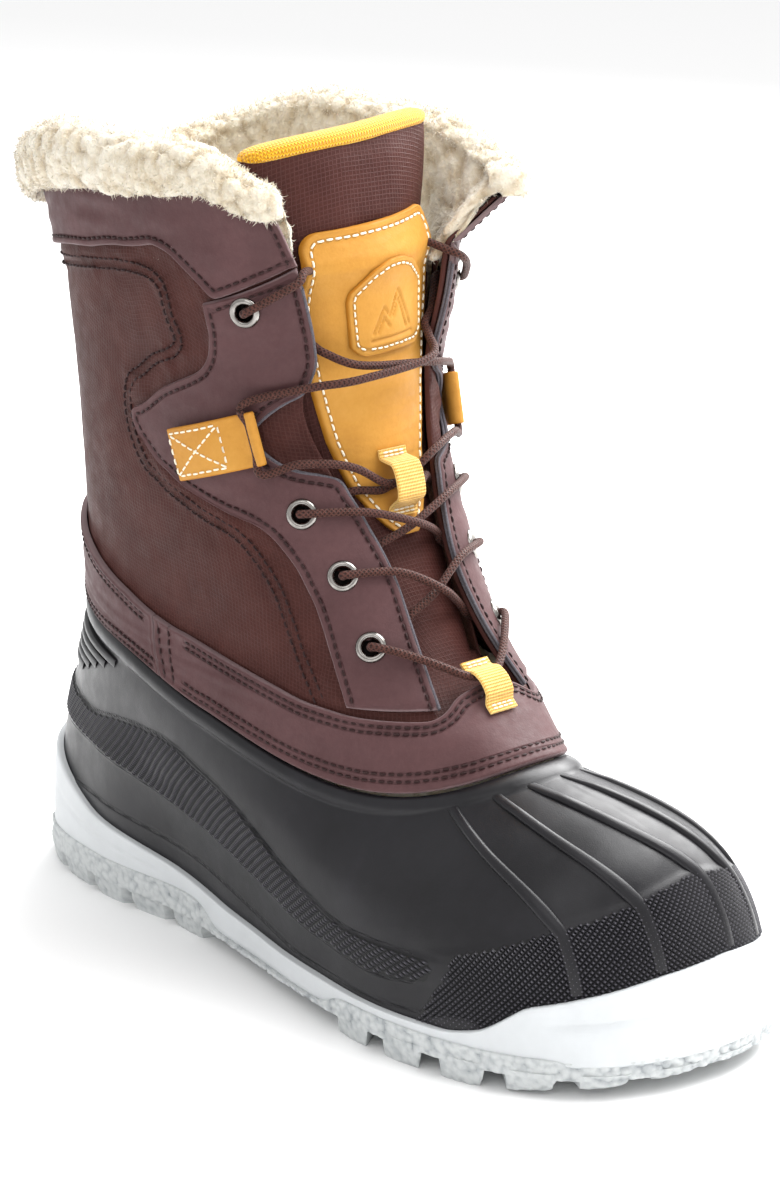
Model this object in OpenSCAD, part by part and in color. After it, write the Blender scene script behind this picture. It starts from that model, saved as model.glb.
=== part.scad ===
// Insulated hunting boot, right foot.
// Z is up, the toe points to -Y, the outer (lateral) side of the foot is -X.
// The leather surface of the shaft is a stack of rounded-square rings, upper(p, t),
// and the rubber galosh is a Bezier skin, galosh(p, s), from the sole up to the lowest ring.
// p is the angle around the boot: 0 toe, 90 lateral side, 180 heel, 270 medial side.

/* [Sole] */
// Height of the tread lugs
lug_h = 6; // [4:0.5:6.5]
// Thickness of the tread plate above the lugs
plate_h = 2.7; // [2:0.1:3]
// Thickness of the white sole wall around the galosh
wall_t = 2.6; // [2:0.2:3.2]
// Angle of one tread lug and its gap, seen from the centre
lug_pitch = 10; // [8:1:12]
// Part of the pitch that is rubber
lug_share = 0.72; // [0.6:0.02:0.8]

/* [Layers] */
// Thickness of the rubber galosh
rubber_t = 3.2; // [2.6:0.2:3.6]
// Thickness of the upper's leather
leather_t = 1.8; // [1.2:0.2:2]
// Thickness of the padded shaft fabric
fabric_t = 2.4; // [2:0.1:2.6]
// Thickness of the fleece lining
fleece_t = 4.4; // [3:0.2:5]
// Play left between two layers
gap = 0.3; // [0.2:0.05:0.4]

/* [Tongue] */
// Thickness of the tongue pad
tongue_t = 7; // [5:0.5:8]
// Height of the tongue's top edge above the ground
tongue_top = 286; // [276:1:288]
// Sideways shift of the leather overlay on the tongue
overlay_x = 2; // [-2:1:4]

/* [Lacing] */
// Diameter of the lace
cord_d = 2.8; // [2.2:0.2:3]
// Bore of an eyelet
eyelet_bore = 5.6; // [5:0.2:6]
// Outer diameter of an eyelet's flange
eyelet_d = 10.4; // [9:0.2:11]
// Width of the leather lace tabs
tab_w = 18; // [14:1:20]
// Width of the webbing loops
webbing_w = 12; // [10:1:14]

/* [Hidden] */
$fn = 48;

// --- places that everything is measured from ---------------------------------
// Shift that puts the middle of the whole boot over the origin
centre = [0, 2.4];

// Foot outline at the ground, every 18 degrees from the toe round the lateral side
FOOT = [[16, -160], [-10, -155.5], [-34, -142], [-51.5, -115], [-59.5, -76], [-56.5, -36],
    [-49, 8], [-44, 50], [-46, 96], [-35, 138], [0, 155], [34, 140], [45, 100], [42, 58],
    [42, 15], [49, -28], [56, -68], [58.5, -104], [54, -136], [39, -155]];

// Shaft rings 0 to 5: height at front, side and back; front and back Y; half width; squareness
RING_Z_FRONT = [87, 120, 160, 195, 230, 286];
RING_Z_SIDE = [98, 112, 157, 195, 230, 270];
RING_Z_BACK = [109, 130, 162, 195, 228, 252];
RING_Y_FRONT = [-84, -46, -20, -7, -11.5, -13];
RING_Y_BACK = [136, 131, 127, 125, 126, 131];
RING_HALF = [49, 46, 47, 50, 54, 58.5];
RING_SQUARE = [2.2, 2.6, 2.8, 2.8, 2.8, 2.8];
topline_dip = 18; // how far the galosh opening drops beside the instep

// Levels of the bottom build-up
plate_z = lug_h;
wall_z = plate_z + plate_h + gap;
galosh_z = wall_z + 3;
board_z = galosh_z + rubber_t + gap;
footbed_z = board_z + 2.3;

// Angle of the throat edge at rings 0, 0.5, 1 ... 5
THROAT = [24, 20, 14, 11, 14, 21, 26, 23, 26, 32, 38];
// Top edge of the sole wall, [angle from the toe, height along the galosh]
WALL_TOP = [[0, 0.17], [18, 0.16], [35, 0.14], [46, 0.12], [54, 0.05], [60, 0.03], [98, 0.03],
    [114, 0.05], [134, 0.11], [146, 0.15], [162, 0.3], [180, 0.34]];
// Top edge of the leather band round the foot, [angle from the toe, ring]
BAND_TOP = [[0, 0.67], [11, 0.61], [18, 0.51], [24, 0.47], [48, 0.53], [62, 0.61], [80, 0.87],
    [93, 1.07], [104, 1.21], [124, 1.33], [150, 1.45], [180, 1.5]];
band_bottom = 0.05; // ring height of the band's lower edge
band_seam = 95; // angle of the seam between vamp and heel band
// Lower edge of the collar leather, [angle from the toe, ring]
COLLAR_LOW = [[30, 4.34], [50, 4.2], [66, 4.07], [70, 4.2], [77, 4.41], [82, 4.47],
    [100, 4.33], [134, 4.27], [180, 4.25]];
collar_top = 4.95; // ring height of the collar leather's upper edge
// Facing leather, row by row: front angle, front ring, rear angle, rear ring
FACING = [[19, 0.55, 48, 0.6], [14, 1, 46, 0.9], [11.5, 1.35, 44, 1.3], [11, 1.55, 45, 1.55],
    [12, 1.75, 48, 1.75], [14, 1.95, 56, 1.97], [15.5, 2.1, 68, 2.07], [17, 2.2, 80, 2.2],
    [20, 2.36, 87, 2.35], [34, 2.45, 89, 2.45], [43, 2.55, 90, 2.55], [50, 2.74, 91, 2.74],
    [46, 2.9, 90, 2.87], [36, 3.08, 84, 3.08], [27, 3.2, 78, 3.2], [24, 3.35, 69, 3.35],
    [22.5, 3.5, 65, 3.5], [23.5, 3.7, 64, 3.7], [26, 3.95, 65, 3.88], [30, 4.3, 66, 4.03]];
// Eyelets, lowest first: angle and ring
EYELETS = [[30, 1.09], [30, 1.61], [38, 2.09], [50, 3.99]];

// Tongue every 20 mm from tongue_foot: front Y at the middle, curvature, half width
tongue_foot = 110;
TONGUE_Y = [-45, -31, -20, -11.5, -8.5, -6.5, -5, -3, 0, 4];
TONGUE_CURVE = [0.02, 0.016, 0.014, 0.016, 0.016, 0.014, 0.012, 0.011, 0.008, 0.006];
TONGUE_HALF = [13, 19, 22, 24.5, 27, 29, 32, 37, 39, 39];
// Leather overlay on the tongue: height and half width
OVERLAY = [[152, 4], [155, 8], [160, 12], [168, 17], [184, 22], [205, 26], [225, 29], [240, 29],
    [252, 28]];
tunnel_z = 243; // the lace passes behind the overlay here
tunnel_h = 3.6; // and lifts it this far off the pad
badge = [5, 18, 212, 243]; // middle, half width, low edge, high edge
keeper = [1, 160, 178]; // middle, low and high end of the webbing keeper

// --- curves -------------------------------------------------------------------
// Smooth curve through the values v at 0, 1, 2 ...
function curve(v, t) =
    let (n = len(v) - 1,
        i = min(max(floor(t), 0), n - 1),
        f = t - i,
        a = i > 0 ? v[i - 1] : 2 * v[0] - v[1],
        b = v[i],
        c = v[i + 1],
        d = i < n - 1 ? v[i + 2] : 2 * v[n] - v[n - 1])
    b + 0.5 * f * (c - a + f * (2 * a - 5 * b + 4 * c - d + f * (3 * (b - c) + d - a)));

// Smooth closed curve through the points v, u in degrees
function round_curve(v, u) =
    let (n = len(v),
        s = (u - 360 * floor(u / 360)) * n / 360,
        i = floor(s) % n,
        f = s - floor(s),
        a = v[(i + n - 1) % n],
        b = v[i],
        c = v[(i + 1) % n],
        d = v[(i + 2) % n])
    b + 0.5 * f * (c - a + f * (2 * a - 5 * b + 4 * c - d + f * (3 * (b - c) + d - a)));

function unit(v) = v / norm(v);
function around(p) = abs(p - 360 * floor((p + 180) / 360));
function squared(c, n) = sign(c) * pow(abs(c), 2 / n);
function foot(p) = round_curve(FOOT, p) + centre;
function throat(t) = curve(THROAT, 2 * t);

// --- the two surfaces, and points standing d off them --------------------------
function upper(p, t) =
    let (zf = curve(RING_Z_FRONT, t),
        zs = curve(RING_Z_SIDE, t),
        zb = curve(RING_Z_BACK, t),
        yf = curve(RING_Y_FRONT, t),
        yb = curve(RING_Y_BACK, t),
        n = curve(RING_SQUARE, t),
        c = cos(p),
        q = around(p),
        dip = q < 120 ? topline_dip * pow(sin(1.5 * q) * max(0, 1 - t), 2) : 0)
    [centre.x - curve(RING_HALF, t) * squared(sin(p), n),
        centre.y + (yf + yb) / 2 - (yb - yf) / 2 * squared(c, n),
        zs + (c > 0 ? zf - zs : zb - zs) * c * c - dip];

function on_upper(p, t, d) =
    upper(p, t) + d * unit(cross(upper(p, t + 0.02) - upper(p, t - 0.02),
        upper(p + 0.5, t) - upper(p - 0.5, t)));

function top_angle(p) = p - 27 * sin(p);

function galosh(p, s) =
    let (f = foot(p),
        c = cos(p),
        front = pow(max(c, 0), 2),
        back = pow(max(-c, 0), 2),
        lean = 12 + 28 * front - 8 * back,
        p0 = [f.x * 0.955, f.y * 0.98, galosh_z],
        p1 = p0 + [-sin(p), -2 * c, 40 + 26 * front + 6 * back],
        p3 = upper(top_angle(p), 0),
        p2 = p3 - [0.9 * lean * sin(p), lean * c, 26 - 20 * front + 6 * back],
        r = 1 - s)
    r * r * r * p0 + 3 * r * r * s * p1 + 3 * r * s * s * p2 + s * s * s * p3;

function on_galosh(p, s, d) =
    galosh(p, s) + d * unit(cross(galosh(p, s + 0.01) - galosh(p, s - 0.01),
        galosh(p + 0.5, s) - galosh(p - 0.5, s)));

function at_height(v, z) = [v.x, v.y, z];

function tongue(x, z, d) =
    let (u = (z - tongue_foot) / 20)
    [centre.x + x, centre.y + curve(TONGUE_Y, u) + curve(TONGUE_CURVE, u) * x * x + d, z];
function tongue_half(z) = curve(TONGUE_HALF, (z - tongue_foot) / 20);

function flip(v) = [-v.x, v.y, v.z];
function back_to_front(v) = [for (i = [len(v) - 1:-1:0]) v[i]];

// --- solids from points ---------------------------------------------------------
// A polyhedron turned the right way out
module solid(pts, faces) {
    parts = [for (f = faces) pts[f[0]] * cross(pts[f[1]], pts[f[2]])];
    volume = parts * [for (p = parts) 1];
    polyhedron(pts, volume > 0 ? [for (f = faces) back_to_front(f)] : faces);
}

// Walls between loops of equal length, closing on the first loop when wrap is true
function walls(n, k, wrap) =
    [for (i = [0:(wrap ? n - 1 : n - 2)], j = [0:k - 1])
        let (a = i * k + j,
            b = i * k + (j + 1) % k,
            c = (i + 1) % n * k + (j + 1) % k,
            d = (i + 1) % n * k + j)
        each [[a, b, c], [a, c, d]]];

// End of a loop whose second half lies opposite its first half
function strip_end(k, o) =
    [for (j = [0:k / 2 - 2]) each [[o + j + 1, o + j, o + k - 1 - j],
        [o + j + 1, o + k - 1 - j, o + k - 2 - j]]];

// Sheet or tube with thickness, from one flat loop per step
module layered(loops, wrap = false) {
    n = len(loops);
    k = len(loops[0]);
    ends = wrap ? [] : concat(strip_end(k, 0),
        [for (f = strip_end(k, (n - 1) * k)) back_to_front(f)]);
    solid([for (l = loops) each l], concat(walls(n, k, wrap), ends));
}

// Bowl from rings stacked from the underside, over the rim, down to the inner floor
module bowl(rings) {
    n = len(rings);
    k = len(rings[0]);
    solid([for (r = rings) each r], concat(walls(n, k, false),
        [[for (j = [k - 1:-1:0]) j], [for (j = [0:k - 1]) (n - 1) * k + j]]));
}

// Loops of a patch on the shaft: rows of [angle, ring], between two distances off it
function patch(rows, low, high) =
    [for (r = rows) concat([for (q = r) on_upper(q[0], q[1], high)],
        [for (q = back_to_front(r)) on_upper(q[0], q[1], low)])];

function mirror_rows(rows) = [for (r = rows) [for (q = r) [-q[0], q[1]]]];

// Turns +Z to stand along the direction v
module face_along(v) {
    rotate([0, acos(v.z / norm(v)), atan2(v.y, v.x)]) children();
}

function off_upper(p, t) = on_upper(p, t, 1) - upper(p, t);

// Round tools or rings standing on the shaft at each eyelet of one side (1 or -1)
module at_eyelets(side, d) {
    for (e = EYELETS)
        translate(on_upper(side * e[0], e[1], d))
            face_along(off_upper(side * e[0], e[1]))
                children();
}

// --- sole ------------------------------------------------------------------------
function outline(kx, ky) = [for (p = [0:5:355]) [foot(p).x * kx, foot(p).y * ky]];

// Ground clearance of the tread, which curls up under the toe
function toe_spring(y) = max(0, (-112 - y) * 0.12);

// One tread lug at the edge of the sole
module edge_lug(p, reach) {
    half = lug_pitch * lug_share / 2;
    edge = [for (i = [-1:0.5:1]) foot(p + i * half) * 0.985];
    low = toe_spring(foot(p).y);
    translate([0, 0, low])
        linear_extrude(plate_z + 1 - low)
            polygon(concat(edge, [edge[4] * reach, edge[0] * reach]));
}

// One block of the tread's middle
module mid_lug(x, y, w, l) {
    translate([x, y, 0])
        linear_extrude(plate_z + 1)
            polygon([[-w / 2, -l / 2 + 3], [0, -l / 2], [w / 2, -l / 2 + 3], [w / 2, l / 2 - 3],
                [0, l / 2], [-w / 2, l / 2 - 3]]);
}

module outsole() {
    color("lightgray") {
        translate([0, 0, plate_z])
            linear_extrude(plate_h)
                polygon(outline(0.98, 0.985));
        for (p = [-90:lug_pitch:90])
            edge_lug(p, 0.74);
        for (p = [125:lug_pitch:235])
            edge_lug(p, 0.72);
        for (y = [-105:24:-33], x = [-17, 17])
            mid_lug(x + centre.x, y + centre.y, 20, 17);
        for (y = [66, 90], x = [-11, 11])
            mid_lug(x + centre.x, y + centre.y, 14, 17);
    }
}

module sole_wall() {
    angles = [0:6:354];
    outer = wall_t + gap;
    color("whitesmoke") bowl([
        [for (p = angles) at_height(on_galosh(p, 0, outer - 0.8), wall_z)],
        [for (p = angles) at_height(on_galosh(p, 0, outer), wall_z + 1.5)],
        for (k = [0:0.25:1]) [for (p = angles) on_galosh(p, lookup(around(p), WALL_TOP) * k, outer)],
        for (k = [1:-0.5:0]) [for (p = angles) on_galosh(p, lookup(around(p), WALL_TOP) * k, gap)],
        [for (p = angles) at_height(on_galosh(p, 0, gap), galosh_z - gap)]]);
}

// --- galosh and what lies in it -----------------------------------------------------
module rubber_galosh() {
    angles = [0:6:354];
    bead = 1.6;
    color("dimgray") bowl([
        for (s = [0, 0.06, 0.14, 0.24, 0.36, 0.48, 0.6, 0.72, 0.84, 0.92])
            [for (p = angles) on_galosh(p, s, 0)],
        for (s = [0.94, 1]) [for (p = angles) on_galosh(p, s, bead)],
        for (s = [1, 0.9, 0.78, 0.66, 0.54, 0.42, 0.3, 0.2, 0.12, 0.07])
            [for (p = angles) on_galosh(p, s, -rubber_t)],
        [for (p = angles) at_height(on_galosh(p, 0.04, -rubber_t), galosh_z + rubber_t)]]);
}

module insole_board() {
    color("tan")
        translate([0, 0, board_z])
            linear_extrude(2)
                polygon(outline(0.86, 0.945));
}

module footbed() {
    color("gray")
        translate([0, 0, footbed_z])
            linear_extrude(5)
                polygon(outline(0.75, 0.91));
}

module foot_lining() {
    low = footbed_z;
    outer = -rubber_t - gap - 0.6;
    color("ivory") layered([for (p = [0:6:354])
        concat([at_height(on_galosh(p, 0.1, outer - 0.1), low)],
            [for (s = [0.16, 0.3, 0.45, 0.6, 0.75, 0.88, 0.97]) on_galosh(p, s, outer)],
            [for (t = [0.12, 0.4, 0.7]) on_upper(top_angle(p), t, outer)],
            [for (t = [0.7, 0.4, 0.12]) on_upper(top_angle(p), t, outer - fleece_t)],
            [for (s = [0.97, 0.88, 0.75, 0.6, 0.45, 0.3, 0.16]) on_galosh(p, s, outer - fleece_t)],
            [at_height(on_galosh(p, 0.1, outer - fleece_t), low)])], true);
}

// --- leather and fabric of the shaft ---------------------------------------------------
function band_rows(first, last, step) =
    [for (p = [first:step:last])
        [for (k = [0:0.25:1]) [p, band_bottom + k * (lookup(around(p), BAND_TOP) - band_bottom)]]];

module vamp_band() {
    color("dimgray") layered(patch(band_rows(-band_seam, band_seam, 5), 0, leather_t));
}

module heel_band() {
    first = band_seam + 0.5;
    color("dimgray")
        layered(patch(band_rows(first, 360 - first, (360 - 2 * first) / 34), 0, leather_t));
}

// Padded fabric of one side of the shaft, from the throat to the back seam
module quarter() {
    rows = [for (t = [0.08, 0.3, 0.6, 0.9, 1.2, 1.5, 1.8, 2.1, 2.5, 2.9, 3.3, 3.7, 4.1, 4.5, 4.9])
        [for (k = [0:1 / 18:1.001]) [throat(t) + 0.5 + k * (179.3 - throat(t)), t]]];
    difference() {
        layered(patch(rows, -fabric_t - gap, -2 * gap));
        at_eyelets(1, -fabric_t - 2)
            cylinder(h = fabric_t + 3, d = eyelet_bore + 1.4);
    }
}

module quarter_lateral() {
    color("saddlebrown") quarter();
}

module quarter_medial() {
    color("saddlebrown") mirror([1, 0, 0]) quarter();
}

// Leather panel of one side that carries the eyelets
module facing() {
    rows = [for (f = FACING)
        [for (k = [0:0.125:1]) [f[0] + k * (f[2] - f[0]), f[1] + k * (f[3] - f[1])]]];
    difference() {
        layered(patch(rows, 0.1, leather_t));
        at_eyelets(1, -1)
            cylinder(h = leather_t + 3, d = eyelet_bore + 1.4);
    }
}

module facing_lateral() {
    color("rosybrown") facing();
}

module facing_medial() {
    color("rosybrown") mirror([1, 0, 0]) facing();
}

module collar_leather() {
    rows = [for (u = [0:1 / 40:1.001])
        let (p = 32 + 296 * u, low = lookup(around(p), COLLAR_LOW))
        [for (k = [0:0.2:1])
            let (t = low + k * (collar_top - low))
            [throat(t) + (360 - 2 * throat(t)) * u, t]]];
    color("rosybrown") layered(patch(rows, 0, leather_t));
}

// --- eyelets -------------------------------------------------------------------------------
module eyelet() {
    rotate_extrude()
        polygon([[eyelet_bore / 2, -4.4], [eyelet_bore / 2 + 0.4, -4.4], [eyelet_bore / 2 + 0.4, 0],
            [eyelet_d / 2, 0], [eyelet_d / 2 - 0.3, 0.6], [eyelet_d / 2 - 1.2, 0.9],
            [eyelet_bore / 2 + 0.3, 0.7], [eyelet_bore / 2, 0.3]]);
}

module eyelets() {
    color("silver")
        for (side = [1, -1])
            at_eyelets(side, leather_t + 0.3)
                eyelet();
}

module eyelet_washers() {
    color("silver")
        for (side = [1, -1])
            at_eyelets(side, -fabric_t - gap - 1.1)
                rotate_extrude()
                    translate([eyelet_bore / 2 + 0.5, 0])
                        square([1.8, 0.5]);
}

// --- folded leather tab that carries the lace on each side -------------------------------------
tab_at = [64, 2.66]; // angle and ring of its middle
tab_tilt = 17; // rise of the strap towards the front
tab_bend = 52; // radius that it is bent to, round the shaft
tab_back = 21; // degrees of strap behind the middle
tab_front = 17; // and in front of it
loop_r = cord_d / 2 + 0.6; // inside radius of the loop at its front end

function tab_arc(a, r) = [r * sin(a), r * cos(a) - tab_bend];

module tab_profile() {
    strap = 2.4;
    end = tab_arc(tab_front, tab_bend + loop_r + 0.7);
    difference() {
        union() {
            polygon(concat([for (a = [-tab_back:2:tab_front]) tab_arc(a, tab_bend)],
                [for (a = [tab_front:-2:-tab_back]) tab_arc(a, tab_bend + strap)]));
            translate(end)
                circle(loop_r + 1);
        }
        translate(end)
            circle(loop_r);
    }
}

// Where the strap's middle touches the facing, and the way it faces in plan
tab_seat = on_upper(tab_at[0], tab_at[1], leather_t + gap + 1.6);
tab_way = off_upper(tab_at[0], tab_at[1]);
tab_turn = atan2(tab_way.y, tab_way.x);

// Point on the loop's own axis, h above the strap's middle
function tab_eye(h) =
    let (e = tab_arc(tab_front, tab_bend + loop_r + 0.7),
        y = e.x * cos(tab_tilt) - h * sin(tab_tilt))
    tab_seat + [e.y * cos(tab_turn) - y * sin(tab_turn), e.y * sin(tab_turn) + y * cos(tab_turn),
        e.x * sin(tab_tilt) + h * cos(tab_tilt)];

module lace_tab() {
    translate(tab_seat)
        rotate([0, 0, tab_turn])
            rotate([tab_tilt, 0, 0])
                rotate([0, 0, -90])
                    translate([0, 0, -tab_w / 2])
                        linear_extrude(tab_w)
                            mirror([1, 0])
                                tab_profile();
}

module lace_tab_lateral() {
    color("goldenrod") lace_tab();
}

module lace_tab_medial() {
    color("goldenrod") mirror([1, 0, 0]) lace_tab();
}

// --- bellows between shaft and tongue ------------------------------------------------------------
module gusset() {
    sheet = 1;
    color("saddlebrown") layered([for (t = [0.95:0.35:4.2])
        let (a = on_upper(64, t, -fabric_t - 2 * gap - sheet - 3),
            b = tongue(-tongue_half(a.z) - 2.5, a.z, -1.5),
            side = [for (k = [0:0.25:1]) a + k * (b - a) + [0, 6 * sin(180 * k), 0]])
        concat(side, [for (v = back_to_front(side)) v + [0.5, 0.9, 0]])]);
}

module gusset_lateral() {
    gusset();
}

module gusset_medial() {
    mirror([1, 0, 0]) gusset();
}

// --- fleece ----------------------------------------------------------------------------------------
module shaft_lining() {
    outer = -fabric_t - 2 * gap - 0.1;
    color("ivory") layered(patch([for (t = [0.82, 1.1, 1.4, 1.8, 2.2, 2.6, 3, 3.4, 3.8, 4.12])
        [for (p = [66:12:294]) [p, t]]], outer - fleece_t, outer));
}

// The collar's medial front flares outwards
function flare(p) = 1 + 0.5 * exp(-pow((p - 305) / 22, 2));

module fleece_collar() {
    outer = -fabric_t - 2 * gap - 0.1;
    inner = outer - fleece_t;
    lift = function(p, t, d, z) on_upper(p, t, d) + [0, 0, z];
    color("ivory") layered([for (u = [0:1 / 46:1.001])
        let (q = throat(5) + 1 + (358 - 2 * throat(5)) * u,
            p = throat(4.4) + 2 + (356 - 2 * throat(4.4)) * u,
            f = flare(q))
        [lift(p, 4.2, outer, 0), lift(p, 4.6, outer, 0), lift(q, 4.9, outer, 0.6),
            lift(q, 5, -1, 1.6), lift(q, 5, 4, 2), lift(q, 5, 8 * f, 4), lift(q, 5, 10 * f, 8),
            lift(q, 5, 8 * f, 13), lift(q, 5, 2, 16), lift(q, 5, -4, 15), lift(q, 5, inner - 1, 10),
            lift(q, 5, inner - 1, 4), lift(p, 4.6, inner, 0), lift(p, 4.2, inner, 0)]]);
}

// --- tongue ------------------------------------------------------------------------------------------
// Slab of the tongue between two depths, from rows of [height, left edge, right edge]
module tongue_slab(rows, front, rear) {
    layered([for (r = rows)
        let (xs = [for (k = [0:0.125:1]) r[1] + k * (r[2] - r[1])])
        concat([for (x = xs) tongue(x, r[0], front)],
            [for (x = back_to_front(xs)) tongue(x, r[0], rear)])]);
}

function full_rows(low, high, n, inset) =
    [for (k = [0:n])
        let (z = low + (high - low) * k / n, w = tongue_half(z) - inset)
        [z, -w, w]];

module tongue_pad() {
    color("saddlebrown") tongue_slab(full_rows(tongue_foot + 3, tongue_top - 5, 16, 0), 0, tongue_t);
}

module tongue_binding() {
    color("gold")
        tongue_slab(full_rows(tongue_top - 4.7, tongue_top, 2, 0), -1, tongue_t + 1);
}

module tongue_lining() {
    color("ivory")
        tongue_slab(full_rows(tongue_foot + 8, tongue_top - 5, 12, 1.5), tongue_t + 2 * gap, tongue_t + 3.4);
}

// Height of the tunnel under the overlay at z
function tunnel(z) = tunnel_h * exp(-pow((z - tunnel_z) / 7, 2));

module tongue_overlay() {
    zs = [152, 155, 160, 168, 176, 184, 194, 205, 215, 225, 231, 235, 239, 243, 247, 251, 255];
    color("goldenrod") layered([for (z = zs)
        let (w = lookup(min(z, 252), OVERLAY),
            xs = [for (k = [-1:0.25:1]) overlay_x + k * w])
        concat([for (x = xs) tongue(x, z, -gap - tunnel(z) - 1.6)],
            [for (x = back_to_front(xs)) tongue(x, z, -gap - tunnel(z))])]);
}

module tongue_badge() {
    zs = [badge[2], 218, 224, 229, 233, 238, badge[3]];
    color("goldenrod") layered([for (z = zs)
        let (w = badge[1] - (z < 219 ? 3 : 0) - (z > 240 ? 5 : 0),
            xs = [for (k = [-1:0.25:1]) badge[0] + k * w],
            d = -2 * gap - tunnel(z) - 1.6)
        concat([for (x = xs) tongue(x, z, d - 1.2)], [for (x = back_to_front(xs)) tongue(x, z, d)])]);
}

// Webbing bridge over the lace: flat ends and an arch of the given height, w wide along X
module bridge(length, height, w) {
    band = 1.2;
    foot_l = 3.5;
    half = length / 2;
    translate([-w / 2, 0, 0])
        rotate([90, 0, 90])
            linear_extrude(w)
                polygon([[-half, 0], [-half + foot_l, 0], [-half + foot_l + 1, height * 0.7],
                    [-half + foot_l + 3, height], [half - foot_l - 3, height],
                    [half - foot_l - 1, height * 0.7], [half - foot_l, 0], [half, 0], [half, band],
                    [half - foot_l + 1, band], [half - foot_l, height * 0.75 + band],
                    [half - foot_l - 2.4, height + band], [-half + foot_l + 2.4, height + band],
                    [-half + foot_l, height * 0.75 + band], [-half + foot_l - 1, band], [-half, band]]);
}

module tongue_keeper() {
    low = tongue(keeper[0], keeper[1], -gap - 2.1);
    high = tongue(keeper[0], keeper[2], -gap - 2.1);
    way = high - low;
    color("goldenrod")
        translate((low + high) / 2)
            rotate([atan2(way.z, way.y), 0, 0])
                bridge(norm(way) + 4, 2 * cord_d + 0.6, webbing_w);
}

module vamp_loop() {
    at = on_upper(0, 0.62, leather_t + 0.7);
    way = on_upper(0, 0.95, leather_t + 0.7) - on_upper(0, 0.4, leather_t + 0.7);
    color("goldenrod")
        translate(at)
            rotate([atan2(way.z, way.y), 0, 0])
                bridge(20, cord_d + 0.8, webbing_w);
}

// --- lace ----------------------------------------------------------------------------------------------
// Routes as angle, ring and distance off the shaft, with the medial side at negative angles
BAR = [[30, 1.09, -1], [30, 1.09, 3], [28, 1.07, 4.6], [22, 1, 4.6], [13, 0.86, 4.6],
    [5, 0.72, 4.2], [0, 0.68, 4.2]];
// From inside one eyelet, round the edge, over to the next eyelet of the other side;
// high is how far the cord stands off where two runs cross
function rise(a, b, high) = [[a[0], a[1], -2], [a[0] - 1, a[1] + 0.03, -5],
    [throat(a[1] + 0.15) + 3, a[1] + 0.12, -4.6], [throat(a[1] + 0.25) - 3, a[1] + 0.19, -2],
    [0, (a[1] + b[1]) / 2 + 0.03, high], [-throat(b[1]) + 1, b[1] - 0.05, 4.4],
    [-b[0] + 2, b[1], 4.6], [-b[0], b[1], 3], [-b[0], b[1], -1]];
// From inside the third eyelet to the keeper, from there to the other side's tab,
// from the tab back over the tongue, and under the edge to the top eyelet
TO_KEEPER = [[38, 2.09, -2], [37, 2.12, -5], [21, 2.2, -4.8], [13, 2.25, -1.8]];
TO_TAB = [[-12, 2.42, 3.6], [-22, 2.5, 4.4], [-34, 2.52, 5]];
FROM_TAB = [[-26, 3.3, 5], [-10, 3.42, 6.4], [8, 3.52, 6], [18, 3.6, 0], [23, 3.66, -4.3],
    [32, 3.76, -4.8], [49, 3.98, -5], [50, 3.99, -2]];
// From outside the top eyelet over the edge to the tunnel behind the overlay
TOP_RUN = [[50, 3.99, -0.6], [50, 3.99, 3], [48, 4.02, 4.8], [38, 4.14, 4.8], [30, 4.22, 4],
    [27, 4.26, -0.6]];
over = 3.4; // how much higher the second of two crossing runs lies

function on_side(route, side) = [for (q = route) on_upper(side * q[0], q[1], q[2])];
function raised(route) = [for (q = route) [q[0], q[1], q[2] + (abs(q[0]) < 15 ? over : 0)]];
function through_tab(side) =
    [for (h = [-tab_w / 2 - 3, -tab_w / 4, tab_w / 4, tab_w / 2 + 3])
        side > 0 ? flip(tab_eye(h)) : tab_eye(h)];

// Round cord swept along points
module cord(points) {
    n = len(points);
    ways = [for (i = [0:n - 1]) unit(points[min(i + 1, n - 1)] - points[max(i - 1, 0)])];
    layered([for (i = [0:n - 1])
        let (across = unit(cross(ways[i], [0.2, 0.1, 1])), over = cross(ways[i], across))
        [for (a = [0:45:315]) points[i] + cord_d / 2 * (cos(a) * across + sin(a) * over)]]);
}

module lace() {
    color("brown") {
        cord(concat(on_side(BAR, 1), back_to_front([for (v = on_side(BAR, -1)) if (v.x > 0.1) v])));
        for (side = [1, -1]) {
            high = side > 0 ? 1 : 1 + over;
            cord(on_side(rise(EYELETS[0], EYELETS[1], high), side));
            cord(on_side(rise(EYELETS[1], EYELETS[2], high), side));
            cord(on_side(TO_KEEPER, side));
            cord(concat(on_side(TO_TAB, side), through_tab(side),
                on_side(side > 0 ? FROM_TAB : raised(FROM_TAB), side)));
            cord(on_side(TOP_RUN, side));
        }
    }
}

// Stretches that the tongue carries: two through the keeper, one behind the overlay
module lace_on_tongue() {
    front = -gap - 1.6 - cord_d / 2 - 0.3;
    color("brown") {
        for (side = [1, -1])
            cord([for (x = [-8:4:8])
                tongue(keeper[0] + side * x, 169 + x * 0.2, front - (side > 0 ? 0 : cord_d + 0.1))]);
        cord([for (x = [-24:8:24]) tongue(overlay_x + x, tunnel_z, -gap - cord_d / 2 - 0.1)]);
    }
}

outsole();
sole_wall();
rubber_galosh();
insole_board();
footbed();
foot_lining();
vamp_band();
heel_band();
quarter_lateral();
quarter_medial();
facing_lateral();
facing_medial();
collar_leather();
eyelets();
eyelet_washers();
lace_tab_lateral();
lace_tab_medial();
gusset_lateral();
gusset_medial();
shaft_lining();
fleece_collar();
tongue_pad();
tongue_binding();
tongue_overlay();
tongue_badge();
tongue_keeper();
tongue_lining();
vamp_loop();
lace();
lace_on_tongue();
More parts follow.
